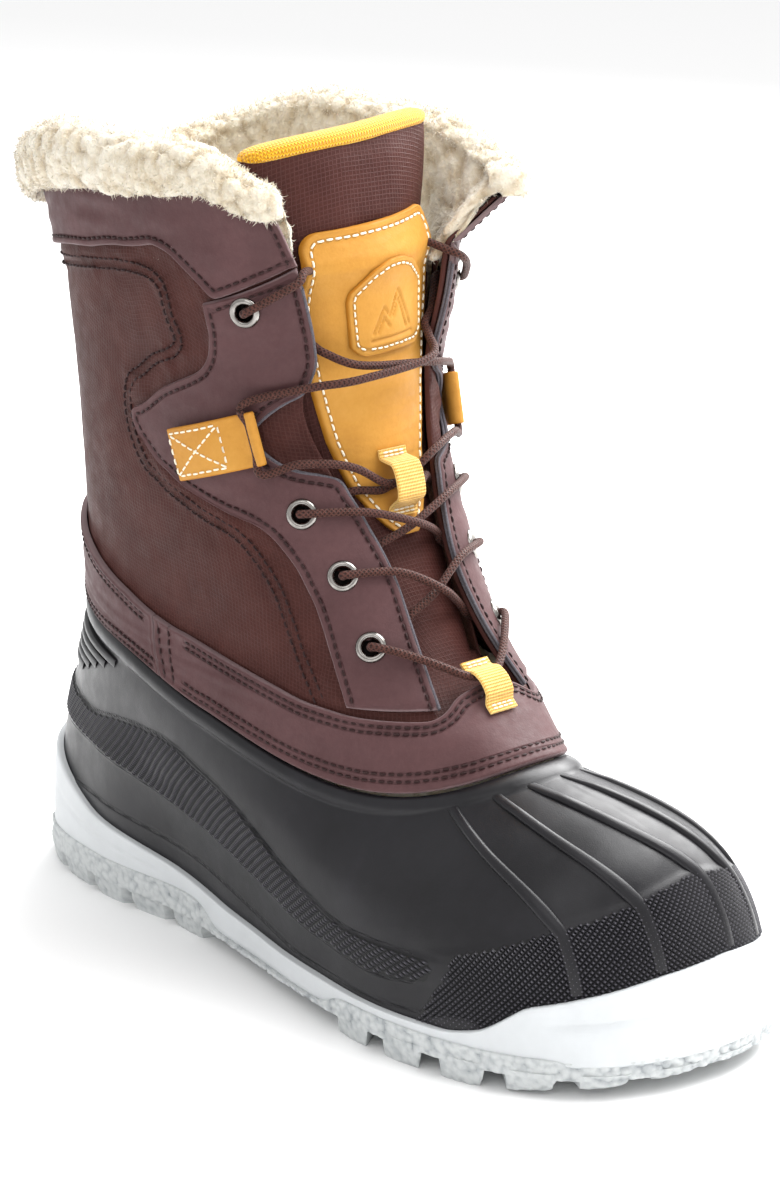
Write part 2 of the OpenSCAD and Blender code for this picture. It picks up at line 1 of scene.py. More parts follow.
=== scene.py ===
"""Looks of an insulated hunting boot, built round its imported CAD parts.

Points are worked out in millimetres and turned into metres when a mesh is made.
p is the angle round the boot (0 toe, 90 lateral side, 180 heel), t the ring of the shaft,
s the height on the galosh, and d the distance off a surface.
"""
import math

import bmesh
import bpy
import numpy as np
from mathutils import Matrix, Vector
from mathutils.kdtree import KDTree


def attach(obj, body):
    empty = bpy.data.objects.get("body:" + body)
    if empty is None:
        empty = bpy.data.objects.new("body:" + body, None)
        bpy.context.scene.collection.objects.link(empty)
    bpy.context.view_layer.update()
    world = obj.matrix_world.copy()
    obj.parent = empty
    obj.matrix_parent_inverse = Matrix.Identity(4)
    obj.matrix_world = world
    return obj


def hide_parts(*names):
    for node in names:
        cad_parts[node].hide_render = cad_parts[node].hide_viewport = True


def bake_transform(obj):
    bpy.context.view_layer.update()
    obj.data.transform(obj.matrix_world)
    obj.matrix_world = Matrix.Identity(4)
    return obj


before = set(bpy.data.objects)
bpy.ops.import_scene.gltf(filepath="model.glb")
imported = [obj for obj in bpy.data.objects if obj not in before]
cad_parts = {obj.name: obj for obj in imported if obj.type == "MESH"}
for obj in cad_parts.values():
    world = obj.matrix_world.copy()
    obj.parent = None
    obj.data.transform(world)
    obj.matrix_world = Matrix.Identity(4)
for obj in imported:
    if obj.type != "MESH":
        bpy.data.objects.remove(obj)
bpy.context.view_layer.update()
MM = 0.001
SIDES = ((1, "lateral"), (-1, "medial"))
FAR = 9.  # point value where no seam or edge is near
random = np.random.default_rng(11)

# --- the CAD's own numbers ----------------------------------------------------
FOOT = [[16, -160], [-10, -155.5], [-34, -142], [-51.5, -115], [-59.5, -76], [-56.5, -36],
        [-49, 8], [-44, 50], [-46, 96], [-35, 138], [0, 155], [34, 140], [45, 100], [42, 58],
        [42, 15], [49, -28], [56, -68], [58.5, -104], [54, -136], [39, -155]]
RING_Z_FRONT = [87, 120, 160, 195, 230, 286]
RING_Z_SIDE = [98, 112, 157, 195, 230, 270]
RING_Z_BACK = [109, 130, 162, 195, 228, 252]
RING_Y_FRONT = [-84, -46, -20, -7, -11.5, -13]
RING_Y_BACK = [136, 131, 127, 125, 126, 131]
RING_HALF = [49, 46, 47, 50, 54, 58.5]
RING_SQUARE = [2.2, 2.6, 2.8, 2.8, 2.8, 2.8]
THROAT = [24, 20, 14, 11, 14, 21, 26, 23, 26, 32, 38]
WALL_TOP = [[0, .17], [18, .16], [35, .14], [46, .12], [54, .05], [60, .03], [98, .03],
            [114, .05], [134, .11], [146, .15], [162, .3], [180, .34]]
BAND_TOP = [[0, .67], [11, .61], [18, .51], [24, .47], [48, .53], [62, .61], [80, .87],
            [93, 1.07], [104, 1.21], [124, 1.33], [150, 1.45], [180, 1.5]]
COLLAR_LOW = [[30, 4.34], [50, 4.2], [66, 4.07], [70, 4.2], [77, 4.41], [82, 4.47],
              [100, 4.33], [134, 4.27], [180, 4.25]]
FACING = [[19, .55, 48, .6], [14, 1, 46, .9], [11.5, 1.35, 44, 1.3], [11, 1.55, 45, 1.55],
          [12, 1.75, 48, 1.75], [14, 1.95, 56, 1.97], [15.5, 2.1, 68, 2.07], [17, 2.2, 80, 2.2],
          [20, 2.36, 87, 2.35], [34, 2.45, 89, 2.45], [43, 2.55, 90, 2.55], [50, 2.74, 91, 2.74],
          [46, 2.9, 90, 2.87], [36, 3.08, 84, 3.08], [27, 3.2, 78, 3.2], [24, 3.35, 69, 3.35],
          [22.5, 3.5, 65, 3.5], [23.5, 3.7, 64, 3.7], [26, 3.95, 65, 3.88], [30, 4.3, 66, 4.03]]
EYELETS = [[30, 1.09], [30, 1.61], [38, 2.09], [50, 3.99]]
TONGUE_Y = [-45, -31, -20, -11.5, -8.5, -6.5, -5, -3, 0, 4]
TONGUE_CURVE = [.02, .016, .014, .016, .016, .014, .012, .011, .008, .006]
TONGUE_HALF = [13, 19, 22, 24.5, 27, 29, 32, 37, 39, 39]
OVERLAY = [[152, 4], [155, 8], [160, 12], [168, 17], [184, 22], [205, 26], [225, 29],
           [240, 29], [252, 28]]
CENTRE_Y, GALOSH_Z, RUBBER, LEATHER, FABRIC, FLEECE, GAP = 2.4, 12, 3.2, 1.8, 2.4, 4.4, .3
TONGUE_T, TONGUE_FOOT, TONGUE_TOP, CORD, WEB_W, TAB_W = 7, 110, 286, 2.8, 12, 18
OUTER_PILE = -FABRIC - 2 * GAP - .1
SEAM_ANGLE = 95


# --- curves and surfaces ------------------------------------------------------
def spline(a, b, c, d, f):
    """Place f of the way from b to c on a smooth curve through a, b, c and d."""
    return b + .5 * f * (c - a + f * (2 * a - 5 * b + 4 * c - d + f * (3 * (b - c) + d - a)))


def curve(v, t):
    """Smooth curve through the rows of v, at places t counted in rows."""
    v, t = np.asarray(v, float), np.asarray(t, float)
    n = len(v) - 1
    i = np.clip(np.floor(t).astype(int), 0, n - 1)
    f = (t - i).reshape(t.shape + (1,) * (v.ndim - 1))
    w = np.concatenate([[2 * v[0] - v[1]], v, [2 * v[n] - v[n - 1]]])
    return spline(*(w[i + k] for k in range(4)), f)


def foot(p):
    """Outline of the foot at angle p, through points at equal steps of the angle."""
    v = np.array(FOOT, float)
    s = np.asarray(p, float) % 360 / 360 * len(FOOT)
    i = np.floor(s).astype(int)
    f = (s - i)[..., None]
    return spline(*(v[(i + k) % len(FOOT)] for k in (-1, 0, 1, 2)), f) + [0, CENTRE_Y]


def around(p):
    """Angle away from the toe, 0 to 180 on either side."""
    return np.abs((np.asarray(p, float) + 180) % 360 - 180)


def table(rows, x):
    """Value at x on straight lines between the rows of a table."""
    rows = np.array(rows, float)
    return np.interp(x, rows[:, 0], rows[:, 1])


def throat(t):
    """Angle of the shaft's front edge, at ring t."""
    return curve(THROAT, 2 * np.asarray(t, float))


def front_corner(p, t):
    """How far a point of the shaft's top is into its soft front corners, 0 to 1."""
    e = np.clip(1 - (around(p) - 36) / 32, 0, 1)
    return e * e * (3 - 2 * e) * np.clip((t - 4.3) / .66, 0, 1.1)


def flare(p, t):
    """How far the soft front corners stand out, in mm; the medial one much further."""
    far = np.asarray(p, float) % 360 > 180
    return front_corner(p, t) * np.where(far, 17, 1)


def upper(p, t):
    """Point on the shaft's fabric face, at angle p and ring t."""
    p, t = np.broadcast_arrays(np.asarray(p, float), np.asarray(t, float))
    zf, zs, zb, yf, yb, half, n = (curve(v, t) for v in (
        RING_Z_FRONT, RING_Z_SIDE, RING_Z_BACK, RING_Y_FRONT, RING_Y_BACK, RING_HALF,
        RING_SQUARE))
    c, s, q = np.cos(np.radians(p)), np.sin(np.radians(p)), around(p)
    dip = np.where(q < 120, 18 * (np.sin(np.radians(1.5 * q)) * np.clip(1 - t, 0, None)) ** 2, 0)
    return np.stack([-half * np.sign(s) * np.abs(s) ** (2 / n),
                     CENTRE_Y + (yf + yb) / 2 - (yb - yf) / 2 * np.sign(c) * np.abs(c) ** (2 / n),
                     zs + np.where(c > 0, zf - zs, zb - zs) * c * c - dip
                     - 15 * front_corner(p, t)], -1)


def galosh(p, s):
    """Point on the galosh's face, from the sole (s = 0) to its top edge (s = 1)."""
    p, s = np.broadcast_arrays(np.asarray(p, float), np.asarray(s, float))
    sn, c = np.sin(np.radians(p)), np.cos(np.radians(p))
    f, front, back = foot(p), np.clip(c, 0, None) ** 2, np.clip(-c, 0, None) ** 2
    lean = 12 + 28 * front - 8 * back
    p0 = np.stack([f[..., 0] * .955, f[..., 1] * .98, np.full(p.shape, GALOSH_Z)], -1)
    p1 = p0 + np.stack([-sn, -2 * c, 40 + 26 * front + 6 * back], -1)
    p3 = upper(p - 27 * sn, 0)
    p2 = p3 - np.stack([.9 * lean * sn, lean * c, 26 - 20 * front + 6 * back], -1)
    s = s[..., None]
    r = 1 - s
    return r ** 3 * p0 + 3 * r * r * s * p1 + 3 * r * s * s * p2 + s ** 3 * p3


def unit(v):
    return v / np.maximum(np.linalg.norm(v, axis=-1, keepdims=True), 1e-9)


def off(surface, step):
    """The surface with a distance off it as its third argument."""
    def at(p, t, d):
        n = unit(np.cross(surface(p, t + step) - surface(p, t - step),
                          surface(p + .5, t) - surface(p - .5, t)))
        return surface(p, t) + np.asarray(d, float)[..., None] * n
    return at


on_shaft, on_galosh = off(upper, .02), off(galosh, .01)


def on_upper(p, t, d):
    """Point off the shaft's face, with its flared front corners."""
    return on_shaft(p, t, np.asarray(d, float) + flare(p, t))


def on_tongue(x, z, d):
    """Point on the tongue, d in front of its pad."""
    x, z = np.broadcast_arrays(np.asarray(x, float), np.asarray(z, float))
    u = (z - TONGUE_FOOT) / 20
    y = CENTRE_Y + curve(TONGUE_Y, u) + curve(TONGUE_CURVE, u) * x * x - d
    return np.stack([x, y, z + .09 * x * np.clip((z - 175) / 70, 0, 1)], -1)


def tongue_half(z):
    """Half the tongue's width at height z."""
    return curve(TONGUE_HALF, (np.asarray(z, float) - TONGUE_FOOT) / 20)


def on_medial(p, t, d):
    """The same as on_upper on the other side of the boot."""
    return on_upper(-np.asarray(p, float), t, d)


# --- noise that is the same each run ------------------------------------------
def value_noise(x, y, seed):
    """Smooth random surface between -1 and 1 with one hill per unit."""
    lattice = np.random.default_rng(seed).uniform(-1, 1, (64, 64))
    i, j = np.floor(x).astype(int), np.floor(y).astype(int)
    fx, fy = x - i, y - j
    fx, fy = fx * fx * (3 - 2 * fx), fy * fy * (3 - 2 * fy)
    a, b = lattice[i % 64, j % 64], lattice[(i + 1) % 64, j % 64]
    c, d = lattice[i % 64, (j + 1) % 64], lattice[(i + 1) % 64, (j + 1) % 64]
    return (a + (b - a) * fx) * (1 - fy) + (c + (d - c) * fx) * fy


def clumps(P, size, seed):
    """Height of rounded tufts, 0 between them and 1 on top, for points P in mm."""
    q = P.reshape(-1, 3) / size
    cell = np.floor(q).astype(int)
    best = np.full(len(q), np.inf)
    jitter = np.random.default_rng(seed).uniform(0, 1, (32, 32, 32, 3))
    for dx in (-1, 0, 1):
        for dy in (-1, 0, 1):
            for dz in (-1, 0, 1):
                c = cell + [dx, dy, dz]
                at = c + jitter[c[:, 0] % 32, c[:, 1] % 32, c[:, 2] % 32]
                best = np.minimum(best, np.linalg.norm(q - at, axis=1))
    return np.clip(1 - best ** 2 * 1.3, 0, 1).reshape(P.shape[:-1])


# --- meshes -------------------------------------------------------------------
def grid_of(a, b):
    """Two arrays, a running down the rows and b along the columns."""
    return np.meshgrid(a, b, indexing="ij")


def cells(idx, wrap=False):
    """Four-sided faces between the rows and columns of a grid of point numbers."""
    if wrap:
        idx = np.concatenate([idx, idx[:, :1]], 1)
    return np.stack([idx[:-1, :-1], idx[:-1, 1:], idx[1:, 1:], idx[1:, :-1]], -1).reshape(-1, 4)


def arcs(P, wrap=False):
    """Lengths along the rows and columns of a grid of points, as a flat pattern in mm."""
    if wrap:
        P = np.concatenate([P, P[:, :1]], 1)
    u, v = np.zeros(P.shape[:2]), np.zeros(P.shape[:2])
    u[:, 1:] = np.cumsum(np.linalg.norm(np.diff(P, axis=1), axis=2), 1)
    v[1:] = np.cumsum(np.linalg.norm(np.diff(P, axis=0), axis=2), 0)
    return np.stack([u - u[:, u.shape[1] // 2, None], v], -1)


class Part:
    """Collects faces, their flat pattern and point values for one mesh."""
    def __init__(self, *values):
        self.v, self.f, self.uv, self.n = [], [], [], 0
        self.values = {k: [] for k in values}

    def points(self, V, **values):
        V = np.asarray(V, float).reshape(-1, 3)
        self.v.append(V)
        for k, held in self.values.items():
            held.append(np.broadcast_to(np.asarray(values.get(k, FAR), float).ravel(), len(V)))
        self.n += len(V)
        return self.n - len(V)

    def faces(self, f, uv=None):
        f = np.asarray(f, int)
        if len(f):
            self.f.append(f)
            self.uv.append(np.zeros((f.size, 2)) if uv is None else uv)

    def grid(self, P, wrap=False, close=False, uv=None, **values):
        """Adds a grid of points; wrap joins its columns, close caps its first and last row."""
        n, m = P.shape[:2]
        start = self.points(P, **values)
        idx = np.arange(n * m).reshape(n, m) + start
        U = arcs(P, wrap) if uv is None else uv
        k = cells(np.arange(U.shape[0] * U.shape[1]).reshape(U.shape[:2]))
        self.faces(cells(idx, wrap), U.reshape(-1, 2)[k.ravel()])
        if close:
            self.faces(idx[:1])
            self.faces(idx[-1:, ::-1])
        return idx

    def join(self, a, b):
        """Closes the four sides between two grids of the same size."""
        for x, y in ((a[0], b[0]), (a[-1], b[-1]), (a[:, 0], b[:, 0]), (a[:, -1], b[:, -1])):
            self.faces(cells(np.stack([x, y])))

    def drop_faces(self, near, radius):
        """Takes out the faces round some points, for holes."""
        V = np.concatenate(self.v)
        for i, f in enumerate(self.f):
            mid = V[f].mean(1)
            keep = (np.linalg.norm(mid[:, None] - near[None], axis=2) > radius).all(1)
            self.uv[i] = self.uv[i].reshape(len(f), -1, 2)[keep].reshape(-1, 2)
            self.f[i] = f[keep]


def build(part, name, material, body="boot", replaces=(), smooth=40, subdivide=0):
    """Makes a Part into an object of the scene, on a body and for CAD nodes."""
    me = bpy.data.meshes.new(name)
    faces = [tuple(x) for f in part.f for x in f.tolist()]
    me.from_pydata((np.concatenate(part.v) * MM).tolist(), [], faces)
    layer = me.uv_layers.new(name="mm")
    layer.data.foreach_set("uv", np.concatenate(part.uv).astype(np.float32).ravel())
    for k, held in part.values.items():
        a = me.attributes.new(k, "FLOAT", "POINT")
        a.data.foreach_set("value", np.concatenate(held).astype(np.float32))
    bm = bmesh.new()
    bm.from_mesh(me)
    bmesh.ops.recalc_face_normals(bm, faces=bm.faces)
    bm.to_mesh(me)
    bm.free()
    me.polygons.foreach_set("use_smooth", [smooth > 0] * len(me.polygons))
    if smooth:
        me.set_sharp_from_angle(angle=math.radians(smooth))
    me.materials.append(material)
    o = bpy.data.objects.new(name, me)
    bpy.context.scene.collection.objects.link(o)
    if subdivide:
        o.modifiers.new("fine", "SUBSURF").levels = subdivide
        o.modifiers["fine"].render_levels = subdivide
    if body:
        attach(o, body)
    if replaces:
        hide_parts(*([replaces] if isinstance(replaces, str) else replaces))
    return o


def ease(n, width, rim=(0, .25, .6, 1.1, 1.8)):
    """Places from 0 to 1 with extra ones near both ends of a strip that is width mm wide."""
    rim = np.array(rim) / width
    inner = np.linspace(rim[-1], 1 - rim[-1], max(n, 2))
    return np.concatenate([rim[:-1], inner, 1 - rim[-2::-1]])


def border_distance(P):
    """Distance of each point of a grid from its border, along the rows and columns."""
    def one(P):
        c = np.zeros(P.shape[:2])
        c[:, 1:] = np.cumsum(np.linalg.norm(np.diff(P, axis=1), axis=2), 1)
        return np.minimum(c, c[:, -1:] - c)
    return np.minimum(one(P), one(P.swapaxes(0, 1)).T)


def nearest(P, lines):
    """Distance from each point of P to the nearest point of some dense lines."""
    pts = np.concatenate(lines)
    tree = KDTree(len(pts))
    for i, q in enumerate(pts.tolist()):
        tree.insert(q, i)
    tree.balance()
    flat = P.reshape(-1, 3).tolist()
    return np.array([tree.find(q)[2] for q in flat]).reshape(P.shape[:-1])


def shell(part, surface, A, B, low, high, rim=.7, relief=0, lines=()):
    """Cut piece of leather: rounded edges, and point values for its seams and edges."""
    P = surface(A, B, high)
    edge = border_distance(P)
    drop = rim * (1 - np.sqrt(1 - (1 - np.clip(edge / rim, 0, 1)) ** 2))
    seam = nearest(P, lines) if lines else FAR
    welt = .4 * np.sin(np.pi * np.clip(edge / 2.5, 0, 1)) if rim > .65 else 0
    top = surface(A, B, high - drop + relief + welt)
    a = part.grid(top, edge=edge, seam=seam)
    b = part.grid(surface(A, B, low), edge=0)
    part.join(a, b)
    return top


def resample(P, step):
    """Rows at equal steps along a line whose first three columns are places."""
    s = np.concatenate([[0], np.cumsum(np.linalg.norm(np.diff(P[:, :3], axis=0), axis=1))])
    at = np.linspace(0, s[-1], max(int(s[-1] / step), 2) + 1)
    return np.stack([np.interp(at, s, P[:, k]) for k in range(P.shape[1])], 1)


def line_on(surface, keys, d=0, step=.7):
    """Points and outward directions along a line through keys of surface coordinates."""
    keys = np.array(keys, float)
    a, b = curve(keys, np.linspace(0, len(keys) - 1, 40 * len(keys)))[:, :2].T
    P = surface(a, b, d)
    N = unit(np.cross(surface(a, b + .02, d) - surface(a, b - .02, d),
                      surface(a + .5, b, d) - surface(a - .5, b, d)))
    N *= np.sign((N * (surface(a, b, d + 1) - P)).sum(1, keepdims=True))
    both = resample(np.concatenate([P, N], 1), step)
    return both[:, :3], unit(both[:, 3:])


def beside(line, distance):
    """A line moved sideways over its surface, without the folds of a sharp corner."""
    P, N = line
    T = unit(np.gradient(P, axis=0))
    Q = P + distance * unit(np.cross(N, T))
    gap = np.linalg.norm(Q[:, None] - P[None], axis=2).min(1)
    keep = gap > abs(distance) * .93
    both = resample(np.concatenate([Q[keep], N[keep]], 1), .7)
    return both[:, :3], unit(both[:, 3:])


def tube_faces(rings, sides):
    """Side faces and the two ends of one tube whose points lie ring by ring."""
    idx = np.arange(rings * sides).reshape(rings, sides)
    return cells(idx, True), idx[[0, -1]]


def stitches(part, line, length=2.3, pitch=3.1, r=.38, lift=.05):
    """Thread stitches along a line, each a short rounded strand with its ends pulled in."""
    P, N = line
    s = np.concatenate([[0], np.cumsum(np.linalg.norm(np.diff(P, axis=0), axis=1))])
    count = max(int((s[-1] - 1) / pitch), 1)
    starts = .5 + np.arange(count) * ((s[-1] - 1) / count)
    shape = np.array([[0, -1.6, .45], [.07, -.1, .85], [.3, .35, 1], [.7, .35, 1],
                      [.93, -.1, .85], [1, -1.6, .45]])
    at = starts[:, None] + shape[None, :, 0] * length
    C = np.stack([np.interp(at, s, P[:, k]) for k in range(3)], -1)
    M = unit(np.stack([np.interp(at, s, N[:, k]) for k in range(3)], -1))
    T = unit(C[:, -1:] - C[:, :1])
    B = unit(np.cross(np.broadcast_to(T, M.shape), M))
    a = np.radians(np.arange(0, 360, 60))
    wobble = random.normal(0, .06, (count, 1, 1))
    C = C + M * (lift + r * shape[None, :, 1:2]) + B * wobble
    ring = C[:, :, None] + r * shape[None, :, 2, None, None] * (
        np.cos(a)[None, None, :, None] * B[:, :, None] + np.sin(a)[None, None, :, None]
        * M[:, :, None])
    start = part.points(ring)
    sides, ends = tube_faces(len(shape), len(a))
    step = (np.arange(count) * len(shape) * len(a))[:, None, None] + start
    part.faces((sides[None] + step).reshape(-1, 4))
    part.faces((ends[None] + step).reshape(-1, len(a)))


TUBE_STEP = .8


def tube(part, P, radius, sides=12):
    """Round cord through control points, with a flat pattern of length and girth."""
    u = np.linspace(0, len(P) - 1, 30 * len(P))
    Q = resample(curve(P, u), TUBE_STEP)
    T = unit(np.gradient(Q, axis=0))
    across = unit(np.cross(T, [.2, .1, 1]))
    up = np.cross(T, across)
    a = np.linspace(0, 2 * np.pi, sides, endpoint=False)
    ring = Q[:, None] + radius * (np.cos(a)[None, :, None] * across[:, None]
                                  + np.sin(a)[None, :, None] * up[:, None])
    length = np.arange(len(Q))[:, None] * TUBE_STEP + np.zeros((1, sides + 1))
    girth = np.linspace(0, 2 * np.pi * radius, sides + 1)[None] + np.zeros((len(Q), 1))
    part.grid(ring, wrap=True, close=True, uv=np.stack([girth, length], -1))
    return Q


def ridge(part, surface, keys, width, height, d=-.5):
    """Moulded rib along a line: width and height are given at each key."""
    P, N = line_on(surface, keys, 0, .9)
    k = np.linspace(0, 1, len(P))
    w = np.interp(k, np.linspace(0, 1, len(width)), width)[:, None, None] / 2
    h = np.interp(k, np.linspace(0, 1, len(height)), height)[:, None, None]
    T = unit(np.gradient(P, axis=0))
    B = np.cross(T, N)
    a = np.radians(np.linspace(0, 180, 9))
    x = np.concatenate([np.sign(np.cos(a)) * np.abs(np.cos(a)) ** .8, [-1, 1]])
    y = np.concatenate([np.sin(a) ** .8, [0, 0]])
    low = np.concatenate([np.zeros(9), [1, 1]])
    ring = P[:, None] + x[None, :, None] * w * B[:, None] \
        + (y[None, :, None] * h + low[None, :, None] * d) * N[:, None]
    part.grid(ring, wrap=True, close=True)


# --- materials ----------------------------------------------------------------
def rgb(r, g, b):
    """Linear colour from 8-bit sRGB values."""
    return tuple((c / 255 / 12.92 if c <= 10 else ((c / 255 + .055) / 1.055) ** 2.4)
                 for c in (r, g, b)) + (1,)


class Look:
    """A material and short names for its nodes."""
    def __init__(self, name, **constants):
        self.m = bpy.data.materials.new(name)
        self.m.use_nodes = True
        self.t = self.m.node_tree
        self.bsdf = self.t.nodes["Principled BSDF"]
        for k, v in constants.items():
            self.bsdf.inputs[k.replace("_", " ")].default_value = v
        self.object = self.put("TexCoord", out="Object")
        self.flat = self.put("UVMap", out="UV", uv_map="mm")

    def put(self, kind, inputs=(), out=0, **props):
        """Adds a node with its inputs, linked or as values, and gives one of its outputs."""
        n = self.t.nodes.new("ShaderNode" + kind)
        for k, v in props.items():
            setattr(n, k, v)
        for k, v in dict(inputs).items():
            if isinstance(v, bpy.types.NodeSocket):
                self.t.links.new(v, n.inputs[k])
            else:
                n.inputs[k].default_value = v
        return n.outputs[out]

    def value(self, name):
        return self.put("Attribute", out="Fac", attribute_name=name)

    def calc(self, op, a, b=0., c=0.):
        return self.put("Math", {0: a, 1: b, 2: c}, operation=op)

    def noise(self, size, detail=3, rough=.55, at=None):
        """Noise with features of a size in mm (flat pattern) or in the frame."""
        scale = 1 / size if at is self.flat else 1 / (size * MM)
        return self.put("TexNoise", {"Vector": at or self.object, "Scale": scale,
                                     "Detail": detail, "Roughness": rough})

    def cells(self, size):
        return self.put("TexVoronoi", {"Vector": self.object, "Scale": 1 / (size * MM),
                                       "Randomness": 1.}, feature="F1")

    def ramp(self, fac, *stops):
        """Colours or greys between stops, each a place and a value."""
        n = self.t.nodes.new("ShaderNodeValToRGB")
        self.t.links.new(fac, n.inputs[0])
        e = n.color_ramp.elements
        while len(e) < len(stops):
            e.new(.5)
        for held, (at, c) in zip(e, stops):
            held.position = at
            held.color = c if isinstance(c, tuple) else (c, c, c, 1)
        return n.outputs[0]

    def mix(self, fac, a, b):
        """Colour a, with as much of b over it as fac says."""
        n = self.t.nodes.new("ShaderNodeMix")
        n.data_type = "RGBA"
        for i, v in ((0, fac), (6, a), (7, b)):
            if isinstance(v, bpy.types.NodeSocket):
                self.t.links.new(v, n.inputs[i])
            else:
                n.inputs[i].default_value = v
        return n.outputs[2]

    def bump(self, height, depth, under=None, strength=1.):
        inputs = {"Height": height, "Distance": depth * MM, "Strength": strength}
        if under:
            inputs["Normal"] = under
        return self.put("Bump", inputs)

    def waves(self, axis, pitch, power=1.):
        """Bright lines every pitch mm along one direction of the flat pattern."""
        part = self.put("SeparateXYZ", {"Vector": self.flat}, out=axis)
        w = self.calc("COSINE", self.calc("MULTIPLY", part, 2 * math.pi / pitch))
        w = self.calc("MULTIPLY_ADD", w, .5, .5)
        return self.calc("POWER", w, power) if power != 1 else w

    def end(self, colour, rough, normal):
        for k, v in (("Base Color", colour), ("Roughness", rough), ("Normal", normal)):
            self.t.links.new(v, self.bsdf.inputs[k])
        return self.m


def leather_look(name, dark, mid, light, edge, rough, grain=.05):
    m = Look(name, Specular_IOR_Level=.2)
    cloud = m.noise(26, 4)
    fine = m.noise(2.2, 5, .7)
    colour = m.ramp(m.calc("MULTIPLY_ADD", fine, .35, m.calc("MULTIPLY", cloud, .65)),
                    (.3, dark), (.5, mid), (.72, light))
    worn = m.ramp(m.calc("MULTIPLY_ADD", m.noise(5, 2), .5, m.value("edge")),
                  (.35, 1.), (.95, 0.))
    colour = m.mix(worn, colour, edge)
    # stitch grooves painted darker: painted shade in the grooves, which are also bumped in
    groove = m.ramp(m.value("seam"), (.0, 1.), (.9, 0.))
    groove_shade_colour = tuple(c * .4 for c in dark[:3]) + (1,)
    colour = m.mix(m.calc("MULTIPLY", groove, .45), colour, groove_shade_colour)
    pores = m.cells(.9)
    n = m.bump(m.calc("ADD", m.calc("MULTIPLY", pores, .8), m.noise(.5, 2)), grain)
    n = m.bump(m.noise(9, 3), .5, n, .6)
    n = m.bump(m.calc("MULTIPLY", groove, -1), .5, n)
    gloss = m.ramp(m.noise(4, 4), (.3, rough[0]), (.7, rough[1]))
    return m.end(colour, gloss, n)


def rubber_look(name, dark, mid, light, rough, grain=.04, groove=False, peaks=False):
    m = Look(name, Specular_IOR_Level=.3)
    colour = m.ramp(m.noise(30, 5, .6), (.25, dark), (.6, mid), (1., light))
    bloom = m.calc("MULTIPLY", m.ramp(m.noise(4, 6, .75), (.52, 0.), (.8, 1.)), .12)
    colour = m.mix(bloom, colour, light)
    n = m.bump(m.noise(.45, 3), grain)
    n = m.bump(m.noise(12, 2), .35, n, .5)
    if peaks:
        # knurl valleys painted near black as painted shade, and pyramid tips painted lighter as
        # painted glints
        colour = m.mix(m.ramp(m.value("top"), (.05, 1.), (.45, 0.)), colour, rgb(5, 5, 6))
        colour = m.mix(m.ramp(m.value("top"), (.6, 0.), (.95, 1.)), colour, rgb(92, 89, 97))
    if groove:
        # the galosh's step lines and groove painted near black: painted shade in the grooves,
        # which are also bumped in
        cut = m.ramp(m.value("seam"), (.0, 1.), (.75, 0.))
        colour = m.mix(m.calc("MULTIPLY", cut, .6), colour, (0.004, .004, .005, 1))
        n = m.bump(m.calc("MULTIPLY", cut, -1), .6, n)
    gloss = m.ramp(m.noise(8, 5, .7), (.3, rough[0]), (.72, rough[1]))
    return m.end(colour, gloss, n)


def ripstop_look():
    m = Look("ripstop_nylon", Specular_IOR_Level=.1)
    grid = m.calc("MAXIMUM", m.waves("X", 1.5, 6), m.waves("Y", 1.5, 6))
    weave = m.calc("MULTIPLY", m.waves("X", .5), m.waves("Y", .5))
    tone = m.calc("MULTIPLY_ADD", m.noise(18, 4), .6, m.calc("MULTIPLY", m.noise(
        1.2, 3, .8, m.flat), .4))
    colour = m.ramp(tone, (.3, rgb(54, 27, 24)), (.5, rgb(65, 35, 31)), (.75, rgb(78, 44, 39)))
    colour = m.mix(m.calc("MULTIPLY", grid, .28), colour, rgb(98, 66, 62))
    # quilting seams painted dark: painted shade in the sunken seams
    quilt_seam_shade = m.ramp(m.value("seam"), (.0, 1.), (.99, 0.))
    colour = m.mix(m.calc("MULTIPLY", quilt_seam_shade, .6), colour, rgb(30, 18, 17))
    n = m.bump(m.calc("MULTIPLY_ADD", grid, .8, m.calc("MULTIPLY", weave, .5)), .12)
    n = m.bump(m.put("TexNoise", {"Vector": m.put("Mapping", {
        "Vector": m.flat, "Scale": (.35, .12, 1)}), "Scale": 1., "Detail": 2.}), .5, n, .5)
    return m.end(colour, m.ramp(m.noise(6, 3), (.3, .42), (.7, .58)), n)


def fleece_look():
    m = Look("fleece_pile", Specular_IOR_Level=.15, Sheen_Weight=.5, Sheen_Roughness=.6,
             Subsurface_Weight=.25, Subsurface_Scale=.003)
    m.bsdf.inputs["Subsurface Radius"].default_value = (1, .8, .55)
    # fleece darker and yellower low between tufts: painted shade between the tufts
    tuft = m.value("tuft")
    colour = m.ramp(tuft, (.0, rgb(166, 144, 112)), (.35, rgb(204, 188, 160)),
                    (.8, rgb(228, 219, 200)))
    colour = m.mix(m.calc("MULTIPLY", m.ramp(m.noise(14, 3), (.45, 0.), (.75, 1.)), .35),
                   colour, rgb(206, 186, 150))
    n = m.bump(m.noise(.8, 5, .75), .6)
    n = m.bump(m.cells(1.6), .5, n)
    return m.end(colour, m.ramp(m.noise(3), (.3, .85), (.7, 1.)), n)


def web_look(name, dark, mid, light):
    m = Look(name, Specular_IOR_Level=.25, Sheen_Weight=.2)
    ribs = m.waves("Y", 1.1, 1)
    yarn = m.waves("X", .7, 1)
    tone = m.calc("MULTIPLY_ADD", m.noise(3, 4, .7), .5, m.calc("MULTIPLY", ribs, .5))
    colour = m.ramp(tone, (.2, dark), (.5, mid), (.8, light))
    n = m.bump(m.calc("MULTIPLY_ADD", yarn, .35, ribs), .3)
    return m.end(colour, m.ramp(m.noise(2), (.3, .6), (.7, .8)), n)


